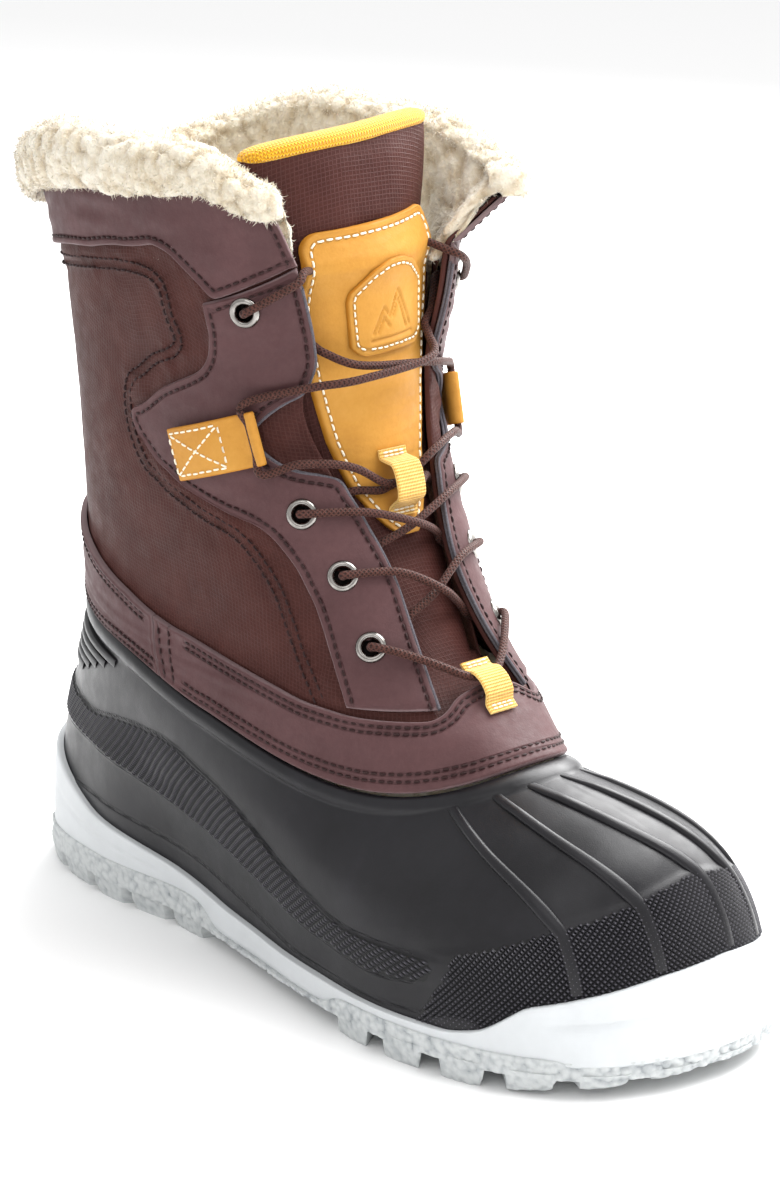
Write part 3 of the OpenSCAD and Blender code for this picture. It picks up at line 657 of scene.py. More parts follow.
def braid_look(name, dark, mid, light):
    """Round braid: strands that cross each other round the cord."""
    m = Look(name, Specular_IOR_Level=.2, Sheen_Weight=.04)
    split = m.put("SeparateXYZ", {"Vector": m.flat}, out="X")
    along = m.put("SeparateXYZ", {"Vector": m.flat}, out="Y")

    def strands(sign):
        a = m.calc("MULTIPLY_ADD", split, sign * .9, along)
        return m.calc("MULTIPLY_ADD", m.calc("SINE", m.calc("MULTIPLY", a, 2 * math.pi / 1.5)),
                      .5, .5)
    h = m.calc("MAXIMUM", strands(1), strands(-1))
    tone = m.calc("MULTIPLY_ADD", m.noise(2, 4, .7), .45, m.calc("MULTIPLY", h, .55))
    colour = m.ramp(tone, (.25, dark), (.6, mid), (.9, light))
    return m.end(colour, m.ramp(m.noise(1), (.3, .5), (.7, .7)), m.bump(h, .25))


def knit_look():
    m = Look("knit_binding", Specular_IOR_Level=.2, Sheen_Weight=.3)
    u = m.put("SeparateXYZ", {"Vector": m.flat}, out="X")
    v = m.waves("Y", 1.2, 1)
    h = m.calc("SINE", m.calc("MULTIPLY", m.calc("MULTIPLY_ADD", v, .7, u), 2 * math.pi / 1.3))
    h = m.calc("MULTIPLY_ADD", h, .5, m.calc("MULTIPLY", v, .6))
    colour = m.ramp(h, (.0, rgb(196, 132, 4)), (.45, rgb(236, 172, 14)), (.9, rgb(252, 200, 40)))
    return m.end(colour, m.ramp(m.noise(2), (.3, .7), (.7, .85)), m.bump(h, .35))


def tread_look():
    m = Look("granular_tread", Specular_IOR_Level=.35)
    small = m.noise(1.1, 4, .8)
    h = m.calc("MULTIPLY_ADD", m.value("grain"), .6, m.calc("MULTIPLY", small, .4))
    # grey low between grains, light on their tops: partly the grains' own speckle, partly painted
    # shade in the valleys
    colour = m.ramp(h, (.12, rgb(122, 127, 130)), (.3, rgb(166, 170, 172)),
                    (.7, rgb(192, 195, 195)))
    dirt = m.calc("MULTIPLY", m.ramp(m.noise(22, 4), (.5, 0.), (.8, 1.)), .3)
    colour = m.mix(dirt, colour, rgb(168, 172, 172))
    return m.end(colour, m.ramp(small, (.3, .65), (.7, .85)), m.bump(h, .55))


def metal_look():
    m = Look("polished_nickel", Metallic=1.)
    colour = m.ramp(m.noise(3, 4), (.3, rgb(118, 114, 110)), (.7, rgb(158, 154, 150)))
    n = m.bump(m.noise(.7, 4), .02)
    return m.end(colour, m.ramp(m.noise(1.5, 5, .7), (.3, .12), (.75, .3)), n)


def plain_look(name, dark, light, size=1., rough=(.7, .9), bump=.1):
    m = Look(name, Specular_IOR_Level=.25)
    f = m.noise(size, 5, .7)
    return m.end(m.ramp(f, (.3, dark), (.7, light)), m.ramp(f, (.3, rough[0]), (.7, rough[1])),
                 m.bump(f, bump))


plum = leather_look("plum_leather", rgb(71, 46, 47), rgb(79, 53, 54), rgb(89, 61, 62),
                    rgb(116, 97, 98), (.5, .66))
tan = leather_look("tan_leather", rgb(172, 118, 44), rgb(186, 132, 54), rgb(197, 144, 66),
                   rgb(176, 116, 34), (.5, .66), .04)
cut_edge = plain_look("cut_edges", rgb(66, 62, 68), rgb(104, 100, 106), .6)
rubber = rubber_look("galosh_rubber", rgb(13, 12, 15), rgb(21, 20, 24), rgb(40, 38, 44),
                     (.3, .44), groove=True)
# knurled rubber with painted shade in its valleys and painted glints on its tips
knurled = rubber_look("knurled_rubber", rgb(28, 27, 31), rgb(38, 37, 42), rgb(54, 52, 59),
                      (.34, .5), .05, peaks=True)
white = rubber_look("white_rubber", rgb(189, 192, 194), rgb(199, 202, 204), rgb(208, 210, 212),
                    (.45, .6), .02)
ripstop = ripstop_look()
fleece = fleece_look()
webbing = web_look("gold_webbing", rgb(198, 146, 62), rgb(222, 172, 82), rgb(240, 200, 118))
lace_look = braid_look("lace_braid", rgb(30, 14, 11), rgb(62, 34, 28), rgb(92, 56, 48))
knit = knit_look()
tread = tread_look()
nickel = metal_look()
dark_thread = plain_look("dark_thread", rgb(30, 16, 16), rgb(52, 28, 27), .5, (.5, .7))
cream_thread = plain_look("cream_thread", rgb(226, 214, 186), rgb(248, 242, 226), .5, (.5, .7))
felt = plain_look("grey_felt", rgb(120, 116, 110), rgb(164, 160, 150), 1.4, (.85, .98), .3)
board = plain_look("fibre_board", rgb(150, 118, 84), rgb(184, 150, 112), 1.2, (.75, .9), .15)
# dark discs deep in the eyelet holes: painted shade
shadow = plain_look("eyelet_painted_shade", rgb(26, 20, 19), rgb(40, 32, 30), 1.)

dark_stitch, cream_stitch, tongue_stitch = Part(), Part(), Part()


# --- sole ---------------------------------------------------------------------
def rounded(rows, window):
    """Height at angle p from a table, its corners rounded over window degrees each way."""
    fine = np.arange(-60, 240, .5)
    k = np.hanning(int(window * 4) + 1)
    v = np.convolve(table(rows, np.clip(np.where(fine > 180, 360 - fine, np.abs(fine)), 0, 180)),
                    k / k.sum(), "same")
    return lambda p: np.interp(around(p), fine, v)


wall_top = rounded(WALL_TOP, 3)


def step_up(x, at, soft):
    """Soft step from 0 to 1."""
    return 1 / (1 + np.exp(-np.clip((x - at) / soft, -30, 30)))


GALOSH_RISE = 105  # mm of height for s from 0 to 1, roughly, near the sole
LEDGE, LEDGE_TOP, LINE_Z = 1.3, 20, 20.6


def make_wall():
    """White rubber wall, with a ledge in front and a fine line round the sides."""
    part = Part("seam", "edge")
    p = np.arange(0, 360, .75)
    top = wall_top(p)
    rows = []
    for z, out in ((7, 1.), (7, 2.), (7.3, 2.5), (8, 2.85), (9.2, 2.95), (10.6, 2.95)):
        q = on_galosh(p, 0, out)
        q[:, 2] = z
        rows.append(q)
    front = np.clip((43 - around(p)) / 6, 0, 1)
    side = np.clip((around(p) - 62) / 8, 0, 1)
    for k in np.concatenate([np.linspace(0, .94, 26), [.97, .99, 1]]):
        h = top * k
        lift = GALOSH_Z + GALOSH_RISE * h
        ledge = front * LEDGE * (1 - step_up(lift, LEDGE_TOP, .4))
        line = -.6 * np.exp(-((lift - LINE_Z) / .8) ** 2) * front \
            - .35 * np.exp(-((k - .55) / .05) ** 2) * side * (top > .1)
        corner = {.97: -.12, .99: -.4, 1: -.9}.get(round(float(k), 3), 0)
        rows.append(on_galosh(p, h, 2.9 + ledge + line + corner))
    for out in (1.2, .3):
        rows.append(on_galosh(p, top, out))
    for k in (.6, 0):
        rows.append(on_galosh(p, top * k, .3))
    part.grid(np.array(rows), wrap=True, close=True)
    build(part, "white_sole_wall", white, replaces="sole_wall")


def block(part, shape, nx, ny, nz):
    """Rounded block whose surface is a fine mesh: shape maps 0..1 coordinates to a place."""
    for axis, (n, m) in enumerate(((ny, nz), (nx, nz), (nx, ny))):
        for end in (0, 1):
            a, b = grid_of(np.linspace(0, 1, n + 1), np.linspace(0, 1, m + 1))
            c = [a, b]
            c.insert(axis, np.full(a.shape, float(end)))
            P = shape(*c)
            part.grid(P, grain=grit(P))


GRIT, GRIT_SEED = 2.3, 5
LUG_TOP, MIDDLE_LUG_TOP, SPRING_Y, SPRING = 8.72, 6.2, -112, .12
LUG_ROWS = ((0, 23.6, 8.6, .74), (180, 22.4, 9, .7))  # angle, pitch, half width, reach
MIDDLE_LUGS = ((range(-105, -32, 24), 17, 20), ((66, 90), 11, 14))  # y, x, width
FLANGE_LOW, FLANGE_SIDE, TOE_MORE, HEEL_MORE = 6, 7.4, 6, 8.4


def grit(P):
    """Coarse grains of the tread rubber, 0 to 1."""
    return clumps(P, GRIT, GRIT_SEED)


def make_outsole():
    part = Part("grain")

    def spring(y):
        """How far the toe of the sole turns up."""
        return np.maximum(0, (SPRING_Y - y) * SPRING)

    angles = np.linspace(-180, 360, 5401)  # every tenth of a degree; 1800 is the toe
    run = np.concatenate([[0], np.cumsum(np.linalg.norm(np.diff(foot(angles), axis=0), axis=1))])
    run -= run[1800]

    def lug(centre, half, reach):
        def shape(u, v, w):
            taper = 1 - .16 * (1 - w)
            p = np.interp(centre + (2 * u - 1) * half * taper, run, angles)
            f = foot(p)
            out = 1.012 + .016 * w
            k = reach + (out - reach) * v
            x, y = f[..., 0] * k * .985, f[..., 1] * (1 + (k - 1) * .6) * .99
            low = spring(f[..., 1])
            z = low + (LUG_TOP - low) * w
            P = np.stack([x, y, z], -1)
            stand = grit(P) * .9
            side = unit(np.stack([x - f[..., 0] * .4, y - f[..., 1] * .4, 0 * x], -1))
            corner = .9 * (np.exp(-w * 5) * (v > .5) + np.exp(-np.minimum(u, 1 - u) * 12))
            return P + side * (stand * (v > .98) - corner * (v > .9))[..., None]
        block(part, shape, 18, 8, 9)
    for at, pitch, half, reach in LUG_ROWS:
        for i in range(-6, 7):
            lug(float(np.interp(at, angles, run)) + pitch * i, half, reach)
    for ys, x, width in MIDDLE_LUGS:
        for y in ys:
            for side in (-1, 1):
                middle_lug(part, side * x, y + CENTRE_Y, width, 17)
    p = np.arange(0, 360, .35)
    f = foot(p)
    q = around(p)
    high = FLANGE_SIDE + TOE_MORE * (1 - step_up(q, 84, 1.4)) \
        + HEEL_MORE * step_up(q, 118, 1.4)
    rows = [np.stack([f[:, 0] * k, f[:, 1] * k, np.full(len(p), FLANGE_LOW)], -1)
            for k in (.9, .96)]
    levels = np.concatenate([[0, .04], np.linspace(.1, .9, 12), [.96, 1, 1, 1]])
    inset = [0] * (len(levels) - 3) + [.8, 2.6, 2.6]
    for k, back in zip(levels, inset):
        z = FLANGE_LOW + k * (high - FLANGE_LOW)
        d = 3.35 - 1.1 * np.clip(1 - k / .1, 0, 1) - .5 * np.clip((k - .9) * 10, 0, 1)
        P = on_galosh(p, np.clip((z - GALOSH_Z) / GALOSH_RISE, 0, 1), d - back)
        P[:, 2] = z
        out = unit(P * [1, 1, 0])
        rows.append(P + out * (1.1 * grit(P) * float(.05 < k < .98))[:, None])
    P = np.array(rows)
    part.grid(P, wrap=True, close=True, grain=grit(P))
    build(part, "tread", tread, replaces="outsole", smooth=50)


def middle_lug(part, x, y, w, l):
    """Chevron-ended block under the middle of the sole."""
    def shape(u, v, k):
        taper = 1 - .12 * (1 - k)
        point = np.abs(2 * u - 1) * 3
        yy = (2 * v - 1) * (l / 2 - point * (np.abs(2 * v - 1)))
        return np.stack([x + (2 * u - 1) * w / 2 * taper, y + yy * taper,
                         MIDDLE_LUG_TOP * k
                         + .15 * clumps(np.stack([u * w, v * l, k * 6], -1), 2, 8)], -1)
    block(part, shape, 8, 8, 3)


# --- galosh -------------------------------------------------------------------
BAND_HIGH = [[60, .23], [84, .27], [96, .42], [108, .66], [120, .75], [146, .57], [180, .63]]
BAND_LOW = [[53, .17], [74, .12], [94, .17], [116, .33], [148, .42], [180, .43]]
GROOVE = [[53, .07], [74, .04], [96, .05], [120, .15], [148, .21], [160, .22]]
TOE_CAP = [[0, .41], [20, .37], [40, .34], [62, .26]]
band_high, band_low, groove_s = rounded(BAND_HIGH, 6), rounded(BAND_LOW, 5), rounded(GROOVE, 5)
toe_cap = rounded(TOE_CAP, 3)


def make_galosh():
    part = Part("seam")
    p = np.arange(0, 360, .8)
    q = around(p)
    lines = []
    for side in (1, -1):
        for low, high, fn in ((66, 178, band_low), (58, 158, groove_s), (66, 178, band_high)):
            a = np.linspace(low, high, 300)
            lines.append(galosh(side * a, fn(a)))
    rows = []
    for s in np.linspace(0, .915, 112):
        lower = step_up(groove_s(q) - s, 0, .004) * np.clip((q - 54) / 4, 0, 1) * .7
        band = step_up(band_high(q) - s, 0, .005) * step_up(s - band_low(q), 0, .005) \
            * np.clip((q - 58) / 4, 0, 1) * .5
        cap = step_up(toe_cap(q) - s, 0, .005) * np.clip((64 - q) / 4, 0, 1) * .6
        cap -= 1.1 * np.clip((q - 135 - (.9 - s) * 85) / 3, 0, 1) * step_up(s, .685, .006) \
            * step_up(.905 - s, 0, .005)
        rows.append(on_galosh(p, s + 0 * p, lower + band + cap
                              + .25 * value_noise(p / 18 + 40, s * 6, 3)))
    outer = np.array(rows)
    rolled_edge = [(.922, .15), (.928, .7), (.935, 1.15), (.945, 1.5), (.96, 1.75),
                   (.975, 1.7), (.988, 1.35), (.997, .8), (1, .1), (1.002, -1)]
    for s, d in rolled_edge + [(s, -RUBBER) for s in (1, .9, .7, .5, .3, .12)]:
        rows.append(on_galosh(p, s, d))
    bottom = on_galosh(p, .05, -RUBBER)
    bottom[:, 2] = GALOSH_Z + RUBBER
    rows.append(bottom)
    P = np.array(rows)
    # seam: distance to the band edges and groove, where galosh_rubber paints shade
    seam = np.full(P.shape[:2], FAR)
    seam[:len(outer)] = nearest(outer, lines)
    part.grid(P, wrap=True, close=True, seam=seam)
    build(part, "galosh", rubber, replaces="rubber_galosh")


TOE_RIBS = ((50, 36), (32, 17), (15, -3), (-4, -16), (-24, -29), (-43, -42))
HEEL_RIBS = ((.88, 137), (.835, 141), (.79, 145), (.745, 149), (.7, 153))


def make_ribs():
    """Ribs that run down the toe, and ribs round the heel that are longer higher up."""
    ribs = Part("seam")
    for top, low in TOE_RIBS:
        mid = (top + low) / 2
        cap = float(toe_cap(low))
        keys = [[top, .955], [top * .72 + low * .28, .82], [mid * .9 + low * .1, .62],
                [low + .12 * (top - low), cap + .05], [low, cap - .03], [low, .27],
                [low, float(wall_top(low)) + .01]]
        ridge(ribs, on_galosh, keys, (3.2, 3.6, 3.8, 4.2, 5, 4.6, 4.6),
              (.3, 1.5, 1.6, 1.6, 1.5, 1.35, 1.3))
    for s, low in HEEL_RIBS:
        ridge(ribs, on_galosh, [[a, s] for a in np.linspace(low, 360 - low, 9)],
              (2.8, 3.1, 3.1, 3.1, 3.1, 3.1, 2.8), (.3, 1.5, 1.5, 1.5, 1.5, 1.5, .3), -1.4)
    build(ribs, "galosh_ribs", rubber)


def make_knurl(name, first, last, low, high, cell, stretch, lean):
    """Field of small pyramids between two outlines, in columns that lean with the shaft."""
    part = Part("seam", "top")
    fine = np.linspace(first, last, 2000)
    run = np.concatenate([[0], np.cumsum(np.linalg.norm(np.diff(
        galosh(fine, .3), axis=0), axis=1))])
    cols = int(run[-1] / (cell * stretch))
    a = np.interp(np.linspace(0, run[-1], cols), run, fine)

    def upright(s):
        return a + lean * np.sin(np.radians(a)) * s ** 2 * (3 - 2 * s)

    def limits(A):
        lo, hi = low(np.abs(A)) + .006, high(np.abs(A)) - .008
        if lean:
            return hi - (hi - lo) * np.clip((np.abs(A) - 60) / 4, .02, 1), hi
        lo = lo - .01
        return lo, lo + (hi - lo) * np.clip((66 - np.abs(A)) / 8, .02, 1)
    heights = np.linspace(0, 1, 241)
    path = galosh(upright(heights[:, None]).T, heights)
    rise = np.linalg.norm(np.diff(path, axis=1), axis=2)
    rise = np.concatenate([np.zeros((cols, 1)), np.cumsum(rise, 1)], 1)
    levels = np.arange(0, 130, cell)
    S = np.stack([np.interp(levels, r, heights) for r in rise], 1)
    lo, hi = limits(upright(S))
    used = ((S > lo) & (S < hi)).any(1).nonzero()[0]
    S = S[used[0] - 1:used[-1] + 2]
    held = S
    for _ in range(12):
        lo, hi = limits(upright(held))
        held = np.clip(S, lo, hi)
    rim = (S <= lo + .005) | (S >= hi - .005)
    S, A = held, upright(held)
    i, j = np.indices(S.shape)
    top = 1. + .38 * np.where((i + j) % 2 == 0, 1, -1)
    edge_col = (j == 0) | (j == cols - 1)
    P = on_galosh(A, S, np.where(rim | edge_col, .35, top))
    # top is 1 on the pyramid tips, which knurled_rubber paints light as glints; the valleys it
    # paints dark as shade
    part.points(P, top=(top > 1) & ~rim & ~edge_col)
    f = cells(np.arange(S.size).reshape(S.shape))
    f = f[np.ptp(S.ravel()[f], axis=1) > 1e-5]
    turned = ((i + j) % 2 == 0).ravel()[f[:, 0]]
    f[turned] = np.roll(f[turned], -1, 1)
    part.faces(f[:, [0, 1, 2]])
    part.faces(f[:, [2, 3, 0]])
    build(part, name, knurled, smooth=0)


# --- leather of the shaft -----------------------------------------------------
band_top, collar_low = rounded(BAND_TOP, 5), rounded(COLLAR_LOW, 2.5)
HIGH, EDGE_R, LEATHER_HOLE, FABRIC_HOLE = LEATHER, .55, 3.4, 3.6


def wavy(A, B, size, amount, seed):
    """Soft waves of a leather face."""
    return amount * value_noise(A / size + 50, B * 9, seed)


def sewn(part, surface, A, B, low, relief, rows):
    """Piece of shaft leather with rows of dark stitches on it."""
    shell(part, surface, A, B, low, HIGH, relief=relief, lines=[r[0] for r in rows])
    for r in rows:
        stitches(dark_stitch, r)


def make_bands():
    """Leather round the foot of the shaft: the vamp's band and, behind its seams, the heel's."""
    for name, first, last, node in (("vamp_leather", -SEAM_ANGLE, SEAM_ANGLE, "vamp_band"),
                                    ("heel_leather", SEAM_ANGLE + .3, 359.7 - SEAM_ANGLE,
                                     "heel_band")):
        part = Part("seam", "edge")
        U, K = grid_of(2 * ease(330, 500) - 1, ease(34, 42))
        slant = 6 * (1 - K) * (1 if first < 0 else -1)
        A = (first + last) / 2 + U * ((last - first) / 2 + slant)
        B = .02 + K * (band_top(A) - .02)
        short = 4.6 if first < 0 else 2
        fine = np.linspace(first + short, last - short, 500)
        top = line_on(on_upper, np.stack([fine, band_top(fine)], 1)[::4], HIGH)
        wide = 1 if first < 0 else -1
        fine = np.linspace(first + short - 5.6 * wide, last - short + 5.6 * wide, 500)
        low = line_on(on_upper, np.stack([fine, .075 + 0 * fine], 1)[::4], HIGH)
        rows = [beside(top, x) for x in (2.1, 4.3)] + [beside(low, x) for x in (-.7, -3.1)]
        if first < 0:
            rows += [line_on(on_upper, [[s * (last + 5.5 - x), .12],
                                        [s * (last + .8 - x), float(band_top(last)) - .05]], HIGH)
                     for s in (1, -1) for x in (1.9, 4.4)]
        sewn(part, on_upper, A, B, 0, wavy(A, B, 12, .22, 4), rows)
        build(part, name, plum, replaces=node)


def facing_rows(n=190):
    return curve(FACING, np.linspace(0, len(FACING) - 1, n))


def make_facings():
    """Leather that the eyelets sit in, with two cut plies showing at its front edge."""
    rows = facing_rows()
    for side, name in SIDES:
        surface = on_upper if side > 0 else on_medial
        part = Part("seam", "edge")
        k = ease(44, 52)
        A = rows[:, :1] + k * (rows[:, 2:3] - rows[:, :1])
        B = rows[:, 1:2] + k * (rows[:, 3:4] - rows[:, 1:2])
        rear = line_on(surface, rows[::6, 2:4], HIGH)
        front = line_on(surface, rows[::6, 0:2], HIGH)
        lines = [beside(rear, -2.7 * side), beside(front, 2.7 * side)]
        lines.append(line_on(surface, [[35, 4.2], [50, 4.1], [62, 3.98]], HIGH))
        sewn(part, surface, A, B, .1, wavy(A, B, 14, .3, 9), lines)
        for d in (HIGH, .1):
            part.drop_faces(surface(*np.array(EYELETS).T, d), LEATHER_HOLE)
        build(part, "facing_leather_" + name, plum,
              replaces="facing_" + name)
        edge = Part("seam", "edge")
        for d in (HIGH - EDGE_R + .3, EDGE_R):
            P = line_on(surface, rows[::6, 0:2], d)[0]
            tube(edge, P[::4], EDGE_R, 8)
        build(edge, "facing_edge_" + name, cut_edge)


def make_collar():
    """Leather band round the top of the shaft, open in front."""
    part = Part("seam", "edge")
    u = ease(260, 420)
    k = ease(30, 38)
    U, K = grid_of(u, k)
    low = collar_low(32 + 296 * U)
    T = low + K * (4.97 - low)
    T = T + .012 * K ** 6 * value_noise(U * 60, 0, 8)
    A = throat(T) + (360 - 2 * throat(T)) * U
    a = np.linspace(.004, .996, 300)
    t = collar_low(32 + 296 * a)
    line = line_on(on_upper, np.stack([throat(t) + (360 - 2 * throat(t)) * a, t], 1)[::3], HIGH)
    rows = [beside(line, -2.8)]
    for side in (1, -1):
        t = np.linspace(4.36, 4.9, 12)
        front = line_on(on_upper, np.stack([side * throat(t), t], 1), HIGH)
        rows.append(beside(front, 2.6 * side))
    sewn(part, on_upper, A, T, 0, wavy(A, T, 16, .35, 12), rows)
    build(part, "collar_band", plum, replaces="collar_leather")


# --- padded fabric ------------------------------------------------------------
QUILT = [[[180, 4.09], [150, 4.1], [120, 4.13], [100, 4.18], [88, 4.22], [82, 4.12], [80, 3.85],
          [77, 3.64], [79, 3.5], [86, 3.36], [90.5, 3.14], [92.5, 2.9], [92.5, 2.55], [89, 2.2],
          [80, 2.02], [66, 1.87], [58, 1.6], [56, 1.35], [56, .97], [56, .6]]]


QUILT_ROWS, COVERED, FLAT, PUFF, PUFF_REACH = (-1.7, 1.7), -.6, -.35, 2, 5.5


def fabric_cover(p, t):
    """True where leather lies over the quilted fabric."""
    rows = facing_rows(300)
    order = np.argsort(rows[:, 3])
    rear = np.interp(t, rows[order, 3], rows[order, 2])
    order = np.argsort(rows[:, 1])
    front = np.interp(t, rows[order, 1], rows[order, 0])
    return ((p < rear) & (p > front) & (t < 4.3)) | (t < band_top(p)) | (t > collar_low(p))


def inflate(P, N, free, seed):
    """Cloth simulation of a padded sheet whose fixed points are its seams."""
    n, m = P.shape[:2]
    noise = np.random.default_rng(seed).normal(0, .12, (n, m, 1))
    me = bpy.data.meshes.new("sim")
    start = P + N * noise * free[..., None]
    me.from_pydata((start.reshape(-1, 3) * .01).tolist(), [],
                   cells(np.arange(n * m).reshape(n, m)).tolist())
    o = bpy.data.objects.new("sim", me)
    bpy.context.scene.collection.objects.link(o)
    pins = o.vertex_groups.new(name="pin")
    for i, w in enumerate((1 - free.ravel()).tolist()):
        if w > .5:
            pins.add([i], 1, "REPLACE")
    mod = o.modifiers.new("cloth", "CLOTH")
    s = mod.settings
    s.vertex_group_mass, s.mass, s.quality = "pin", .3, 6
    s.tension_stiffness = s.compression_stiffness = 12
    s.shear_stiffness, s.bending_stiffness, s.air_damping = 5, .12, 1.5
    s.use_pressure, s.uniform_pressure_force = True, 6
    s.shrink_min = -.05
    s.effector_weights.gravity = 0
    mod.collision_settings.use_collision = False
    scene = bpy.context.scene
    mod.point_cache.frame_start, mod.point_cache.frame_end = 1, 20
    for f in range(1, 21):
        scene.frame_set(f)
    dg = bpy.context.evaluated_depsgraph_get()
    out = np.zeros(n * m * 3, np.float32)
    o.evaluated_get(dg).to_mesh().vertices.foreach_get("co", out)
    scene.frame_set(1)
    bpy.data.objects.remove(o)
    return out.reshape(n, m, 3).astype(float) / .01


def make_quarters():
    """Quilted sides of the shaft, puffed up between their seams."""
    for side, name in SIDES:
        surface = on_upper if side > 0 else on_medial
        k, t = np.linspace(0, 1, 96), np.linspace(.08, 4.86, 74)
        T, K = grid_of(t, k)
        A = throat(T) + .5 + K * (180.5 - throat(T) - .5)
        base = surface(A, T, 0)
        rows = facing_rows(400)
        a, edge = np.linspace(24, 180, 500), np.linspace(.1, 4.8, 200)
        fixed = [surface(rows[:, 2], rows[:, 3], 0),
                 surface(rows[:, 0], rows[:, 1], 0),
                 surface(a, band_top(a), 0), surface(a, collar_low(a), 0),
                 surface(180, t, 0),
                 surface(throat(edge), edge, 0)]
        quilt = [line_on(surface, q, 0) for q in QUILT]
        cover = fabric_cover(A, T)
        gap = np.minimum(nearest(base, fixed), nearest(base, [q[0] for q in quilt]))
        gap = np.where(cover, 0, gap)
        puff = PUFF * (1 - np.exp(-(gap / PUFF_REACH) ** 1.4))
        d = np.where(cover, COVERED, FLAT + puff)
        N = unit(surface(A, T, d + 1) - surface(A, T, d))
        free = (gap > 1.7).astype(float)
        P0 = surface(A, T, np.where(cover, COVERED, FLAT + puff * .55))
        moved = inflate(P0, N, free, 20 + side)
        rise = ((moved - P0) * N).sum(-1)
        slide = moved - P0 - rise[..., None] * N
        rise = np.clip(rise, -1.2, 1.9) * free
        P = P0 + rise[..., None] * N + np.clip(slide, -1.5, 1.5) * free[..., None]
        part = Part("seam")
        seam = nearest(P, [beside(q, x)[0] for q in quilt for x in QUILT_ROWS])
        idx = part.grid(P, seam=seam)
        back = part.grid(surface(A, T, -FABRIC - GAP))
        part.join(idx, back)
        part.drop_faces(surface(*np.array(EYELETS).T, -1), FABRIC_HOLE)
        o = build(part, "padded_quarter_" + name, ripstop,
                  replaces="quarter_" + name, subdivide=1)
        for q in quilt:
            for x in QUILT_ROWS:
                stitches(dark_stitch, beside(q, x), 2.2, 3., .4, .1)


# --- eyelets ------------------------------------------------------------------
def make_eyelets():
    """Turned rings and washers, from profiles of radius and height off the leather, and a dark
    disc deep in each hole as painted shade.
    """
    rings, tubes, shade_discs = Part("seam", "edge"), Part("seam", "edge"), Part("seam", "edge")
    profile = [[2.75, -4.6], [2.75, -2], [2.75, -.4], [2.85, .25], [3.1, .75], [3.5, 1.02],
               [4, 1.08], [4.5, .95], [4.95, .6], [5.2, .15], [5.22, -.25], [4.2, -.25],
               [3.15, -.3], [3.15, -4.6]]
    washer = [[3.3, -.1], [5, -.1], [5.1, .15], [5, .5], [4.2, .6], [3.3, .5]]
    a = np.radians(np.arange(0, 360, 7.5))
    for side in (1, -1):
        for p, t in EYELETS:
            at = on_upper(side * p, t, LEATHER + .1)
            n = unit(on_upper(side * p, t, 3) - on_upper(side * p, t, 2))
            x = unit(np.cross(n, [0, 0, 1]))
            y = np.cross(n, x)
            circle = np.cos(a)[:, None] * x + np.sin(a)[:, None] * y
            for part, shape, base in ((rings, profile, at),
                                      (tubes, washer, at - n * (LEATHER + FABRIC + 1.5))):
                rows = np.array([base + r * circle + h * n for r, h in shape])
                rows = np.concatenate([rows, rows[:1]])
                part.grid(rows, wrap=True)
            # dark disc deep in each eyelet hole: painted shade inside the hole
            pit = np.array([at + r * circle - 4.5 * n for r in (.2, 3.1)])
            shade_discs.grid(pit, wrap=True)
    build(rings, "eyelet_rings", nickel, replaces="eyelets", smooth=60)
    build(tubes, "washer_rings", nickel, replaces="eyelet_washers", smooth=60)
    build(shade_discs, "eyelet_shade_discs", shadow)


# --- strips: tabs, keeper, vamp loop ------------------------------------------
def strip(part, line, across, width, thick):
    """Flat strip along a line: across is the direction of its width."""
    w = ease(14, width, (0, .2, .5, 1)) - .5
    T = unit(np.gradient(line, axis=0))
    N = unit(np.cross(T, across))
    edge = (.5 - np.abs(w)) * width
    round_off = .35 * np.clip(1 - edge / .5, 0, 1) ** 2
    middle = line[:, None] + across * (w * width)[None, :, None]
    half = N[:, None] * (thick / 2 - round_off)[None, :, None]
    top, low = middle + half, middle - half
    near = np.broadcast_to(edge, top.shape[:2])
    a = part.grid(top, edge=near)
    b = part.grid(low, edge=near)
    part.join(a, b)


TAB_TILT, TAB_BEND, TAB_BACK, TAB_FRONT, LOOP_R = 17, 52, 21, 17, CORD / 2 + .6
tab_seat = on_upper(64, 2.66, LEATHER + GAP + 1.6)
tab_way = on_upper(64, 2.66, 1) - on_upper(64, 2.66, 0)
tab_turn = math.atan2(tab_way[1], tab_way[0])


def tab_place(along, out, h):
    """Point of the lateral tab: along the strap, out from its base and h across it."""
    c, s = math.cos(math.radians(TAB_TILT)), math.sin(math.radians(TAB_TILT))
    y, z = along * c - h * s, along * s + h * c
    ct, st = math.cos(tab_turn), math.sin(tab_turn)
    return tab_seat + np.stack([out * ct - y * st, out * st + y * ct, z], -1)


def tab_arc(deg, r):
    a = np.radians(deg)
    return r * np.sin(a), r * np.cos(a) - TAB_BEND


def tab_eye(h):
    along, out = tab_arc(TAB_FRONT, TAB_BEND + LOOP_R + .7)
    return tab_place(along, out, np.asarray(h, float))


